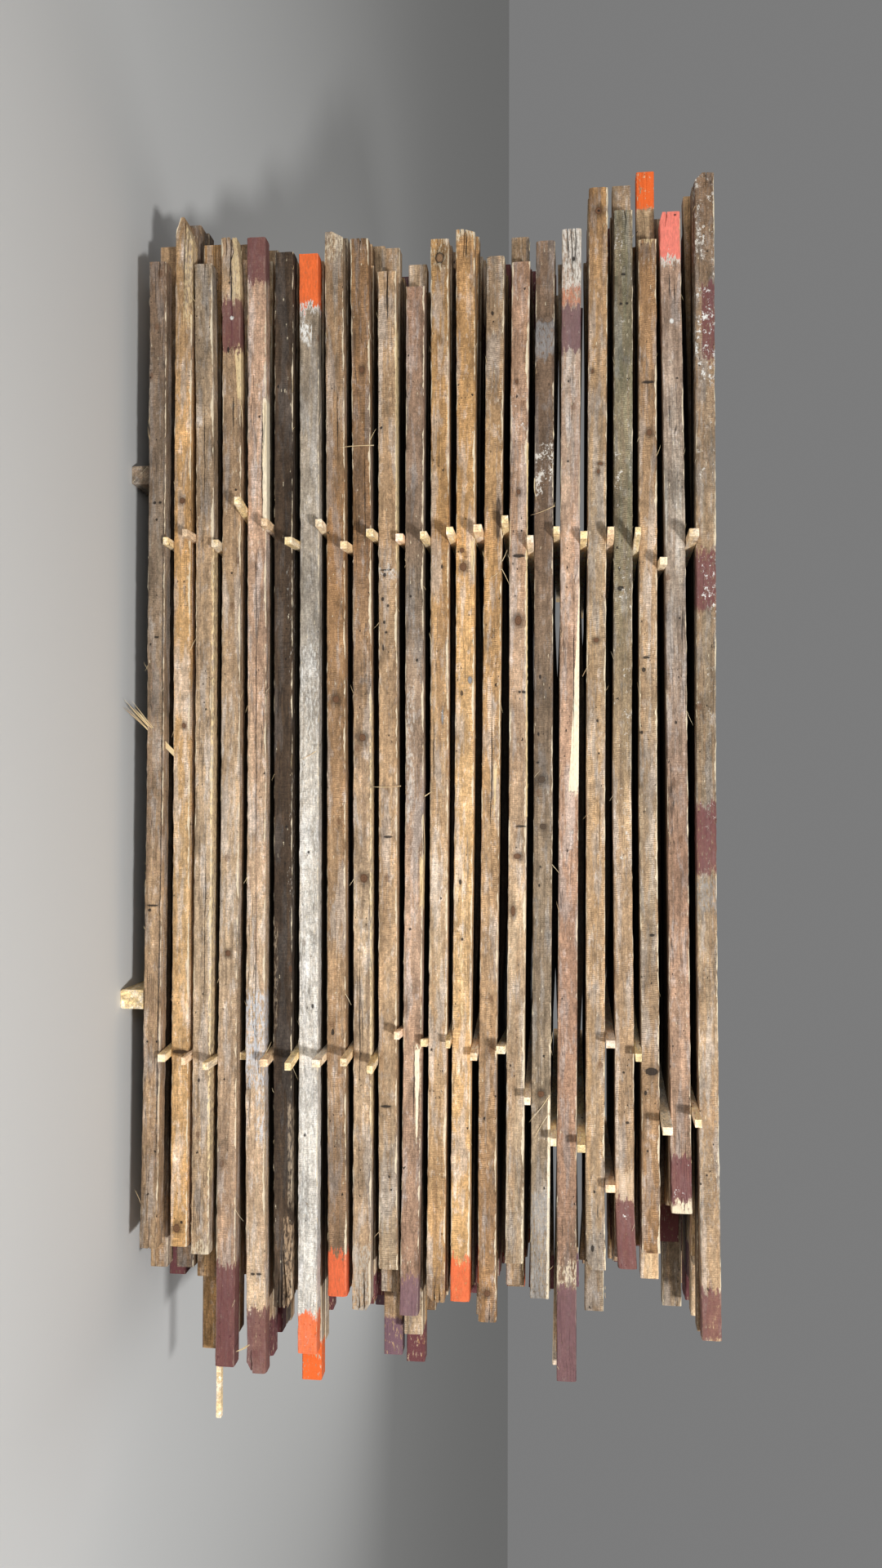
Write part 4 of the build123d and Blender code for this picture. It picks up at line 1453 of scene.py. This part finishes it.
# Long splinters and straws by course: the held end's place along the stack and its height from
# the timber's axis, the length, the thickness, and the turn of the free end from the right, in
# degrees. The bundle hangs from one place.
STRAWS = {
    18: [(-2.26, 0.036, 0.05, 0.0024, -24)],
    17: [(-0.48, 0.05, 0.07, 0.0014, 150)],
    16: [
        (-1.14, 0.042, 0.10, 0.0022, -68), (-1.25, -0.036, 0.09, 0.0034, 4),
        (1.12, 0.034, 0.13, 0.0026, -38), (1.19, 0.03, 0.11, 0.0024, -30),
        (0.24, 0.035, 0.05, 0.0016, 40),
    ],
    14: [
        (-0.93, 0.036, 0.05, 0.0018, 155), (-0.9, 0.034, 0.06, 0.0022, -50),
        (-0.9, 0.036, 0.07, 0.0018, 25), (-1.02, 0.036, 0.03, 0.002, 160),
    ],
    13: [(-1.0, 0.026, 0.12, 0.004, 4)],
    12: [(0.1, -0.03, 0.04, 0.0018, 120)],
    11: [
        (-0.02, 0.04, 0.035, 0.003, 125), (0.3, 0.034, 0.12, 0.003, -6),
        (0.05, 0.034, 0.2, 0.0026, 3),
    ],
    10: [(-0.06, 0.05, 0.11, 0.0028, -88), (0.02, 0.035, 0.07, 0.0018, -20)],
    9: [(-1.4, 0.05, 0.14, 0.0026, -86), (-1.42, 0.035, 0.05, 0.0016, 150)],
    8: [(0.75, 0.036, 0.05, 0.0018, 30)],
    7: [(-0.2, 0.034, 0.08, 0.0022, -60)],
    5: [
        (-1.58, 0.034, 0.3, 0.0034, 2), (2.12, -0.026, 0.06, 0.0060, -62),
        (1.0, 0.034, 0.07, 0.0018, 150),
    ],
    4: [(-1.6, 0.034, 0.12, 0.003, 8), (1.6, 0.034, 0.06, 0.0018, 40)],
    3: [(0.4, 0.034, 0.1, 0.0022, -12)],
    2: [(-0.6, 0.034, 0.06, 0.0018, 150)],
}
BUNDLE_COURSE = 2
BUNDLE = (-0.19, -0.03, 0.29, 0.0034, -139)
BUNDLE_COUNT = 12
FIBRES_PER_TIMBER = 16
FIBRE_LENGTHS = (0.006, 0.035)
FIBRE_THICKNESSES = (0.0006, 0.0014)
# The share of short fibres on upper arrises, and the share that is twice as long
UPPER_SHARE = 0.62
LONG_SHARE = 0.12
# How deep a fibre's held end is in the timber, and how far a straw leans out, in radians
HELD_DEPTH = 0.003
STRAW_LEAN = 0.12
# Stations along a fibre: the place, the size across, and the rise of its bow
FIBRE_STATIONS = ((0.2, 1.0, 0.7), (0.4, 0.9, 1.4), (0.6, 0.75, 1.3), (0.8, 0.55, 0.6), (1.0, 0.15, 0.0))


def fibre_model():
    """A fibre of unit length and thickness: thin, bowed, and pointed at its free end."""
    fibre = unit_bar("fibre")
    divide(fibre, 0, 0.5, 4)
    corners = corners_of(fibre)
    for place, taper, rise in FIBRE_STATIONS:
        editing(fibre)
        choose(fibre, "vertices", np.abs(corners[:, 0] - place) < 0.01)
        bpy.ops.transform.resize(value=(1, taper, taper))
        bpy.ops.transform.translate(value=(0, 0, rise))
        leave()
    return fibre


def lay_fibre(model, place, length, thick, turn, out, roll):
    """A copy of the fibre with its held end at a place, turned in the face and leaning out."""
    only(model)
    bpy.ops.object.duplicate()
    fibre = bpy.context.object
    turned = Matrix.Rotation(-turn, 4, "Y") @ Matrix.Rotation(-out, 4, "Z")
    turned = turned @ Matrix.Rotation(roll, 4, "X")
    size = Matrix.Diagonal((length, thick, thick * 0.8, 1))
    fibre.matrix_world = Matrix.Translation(place) @ turned @ size
    return fibre


def torn_fibres():
    """Short fibres along the arrises of the front timbers, and the long ones named above."""
    random = Random(29)
    model = fibre_model()
    fibres = []

    def add(timber, x, z, length, thick, turn, out):
        level = np.interp(x, timber.xs, timber.zs) + z
        place = Vector((x, timber.y - timber.half_width + HELD_DEPTH, level))
        roll = random.uniform(-math.pi, math.pi)
        fibres.append(lay_fibre(model, place, length, thick, math.radians(turn), out, roll))

    for number, timbers in courses.items():
        timber = timbers[0]
        for _ in range(FIBRES_PER_TIMBER):
            x = random.uniform(timber.left + 0.05, timber.right - 0.05)
            side = 1 if random.random() < UPPER_SHARE and number != COURSES else -1
            turn = random.gauss(6, 14) * side
            if random.random() < 0.5:
                turn = 180 - turn
            length = random.uniform(*FIBRE_LENGTHS) * (2 if random.random() < LONG_SHARE else 1)
            thick = random.uniform(*FIBRE_THICKNESSES)
            out = random.uniform(0.05, 0.4)
            add(timber, x, (timber.half_height - HELD_DEPTH) * side, length, thick, turn, out)
    for number, straws in STRAWS.items():
        for straw in straws:
            add(courses[number][0], *straw, STRAW_LEAN)
    middle, z, longest, thick, lean = BUNDLE
    for _ in range(BUNDLE_COUNT):
        turn = lean + random.uniform(-5, 5)
        length = longest * random.uniform(0.7, 1.0)
        x = middle + random.uniform(-0.012, 0.012)
        out = random.uniform(0.2, 0.3)
        add(courses[BUNDLE_COURSE][0], x, z, length, thick, turn, out)
    bpy.data.objects.remove(model)
    piece = joined(fibres, "torn_fibres")
    apply_place(piece)
    turn_outwards(piece)
    set_material(piece, fibre_material())
    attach(piece, "root")


torn_fibres()


def floor():
    bpy.ops.object.select_all(action="DESELECT")
    bpy.ops.mesh.primitive_plane_add(size=60, location=(0, 0, 0))
    piece = bpy.context.object
    piece.name = "studio_floor"
    material, _, shader = new_material("studio_floor")
    shader.inputs["Base Color"].default_value = tone("floor")
    shader.inputs["Roughness"].default_value = 0.9
    set_material(piece, material)


def area_light(label, place, target, size, power):
    bpy.ops.object.light_add(type="AREA", location=place)
    lamp = bpy.context.object
    lamp.name = label
    lamp.data.shape = "DISK"
    lamp.data.size = size
    lamp.data.energy = power
    aim = Vector(target) - Vector(place)
    lamp.rotation_euler = aim.to_track_quat("-Z", "Y").to_euler()


def camera():
    """The eye at the picture's place. The picture lies on its side: its right is up."""
    pitch, yaw = math.radians(PITCH), math.radians(YAW)
    right = Vector((math.cos(yaw), math.sin(yaw), 0))
    level = Vector((-math.sin(yaw), math.cos(yaw), 0)) * math.cos(pitch)
    ahead = level - Vector((0, 0, math.sin(pitch)))
    up = right.cross(ahead)
    data = bpy.data.cameras.new("camera")
    data.sensor_width = SENSOR
    data.lens = LENS
    eye = bpy.data.objects.new("camera", data)
    bpy.context.scene.collection.objects.link(eye)
    turn = Matrix((up, -right, -ahead)).transposed()
    eye.matrix_world = Matrix.Translation(EYE) @ turn.to_4x4()
    bpy.context.scene.camera = eye


floor()
area_light("key_light", (2.5, -7.2, 5.4), (0.2, -0.45, 1.0), 0.9, 560)
area_light("side_light", (-2.2, -7.0, 2.6), (-0.4, -0.45, 0.8), 3.0, 75)
area_light("back", (1.5, 6.5, 3.6), (0.0, 0.5, 1.0), 4.0, 150)
world = bpy.data.worlds.new("studio")
world.use_nodes = True
world.node_tree.nodes["Background"].inputs["Color"].default_value = (1, 1, 1, 1)
world.node_tree.nodes["Background"].inputs["Strength"].default_value = 0.2
bpy.context.scene.world = world
bpy.context.scene.view_settings.view_transform = "Standard"
camera()
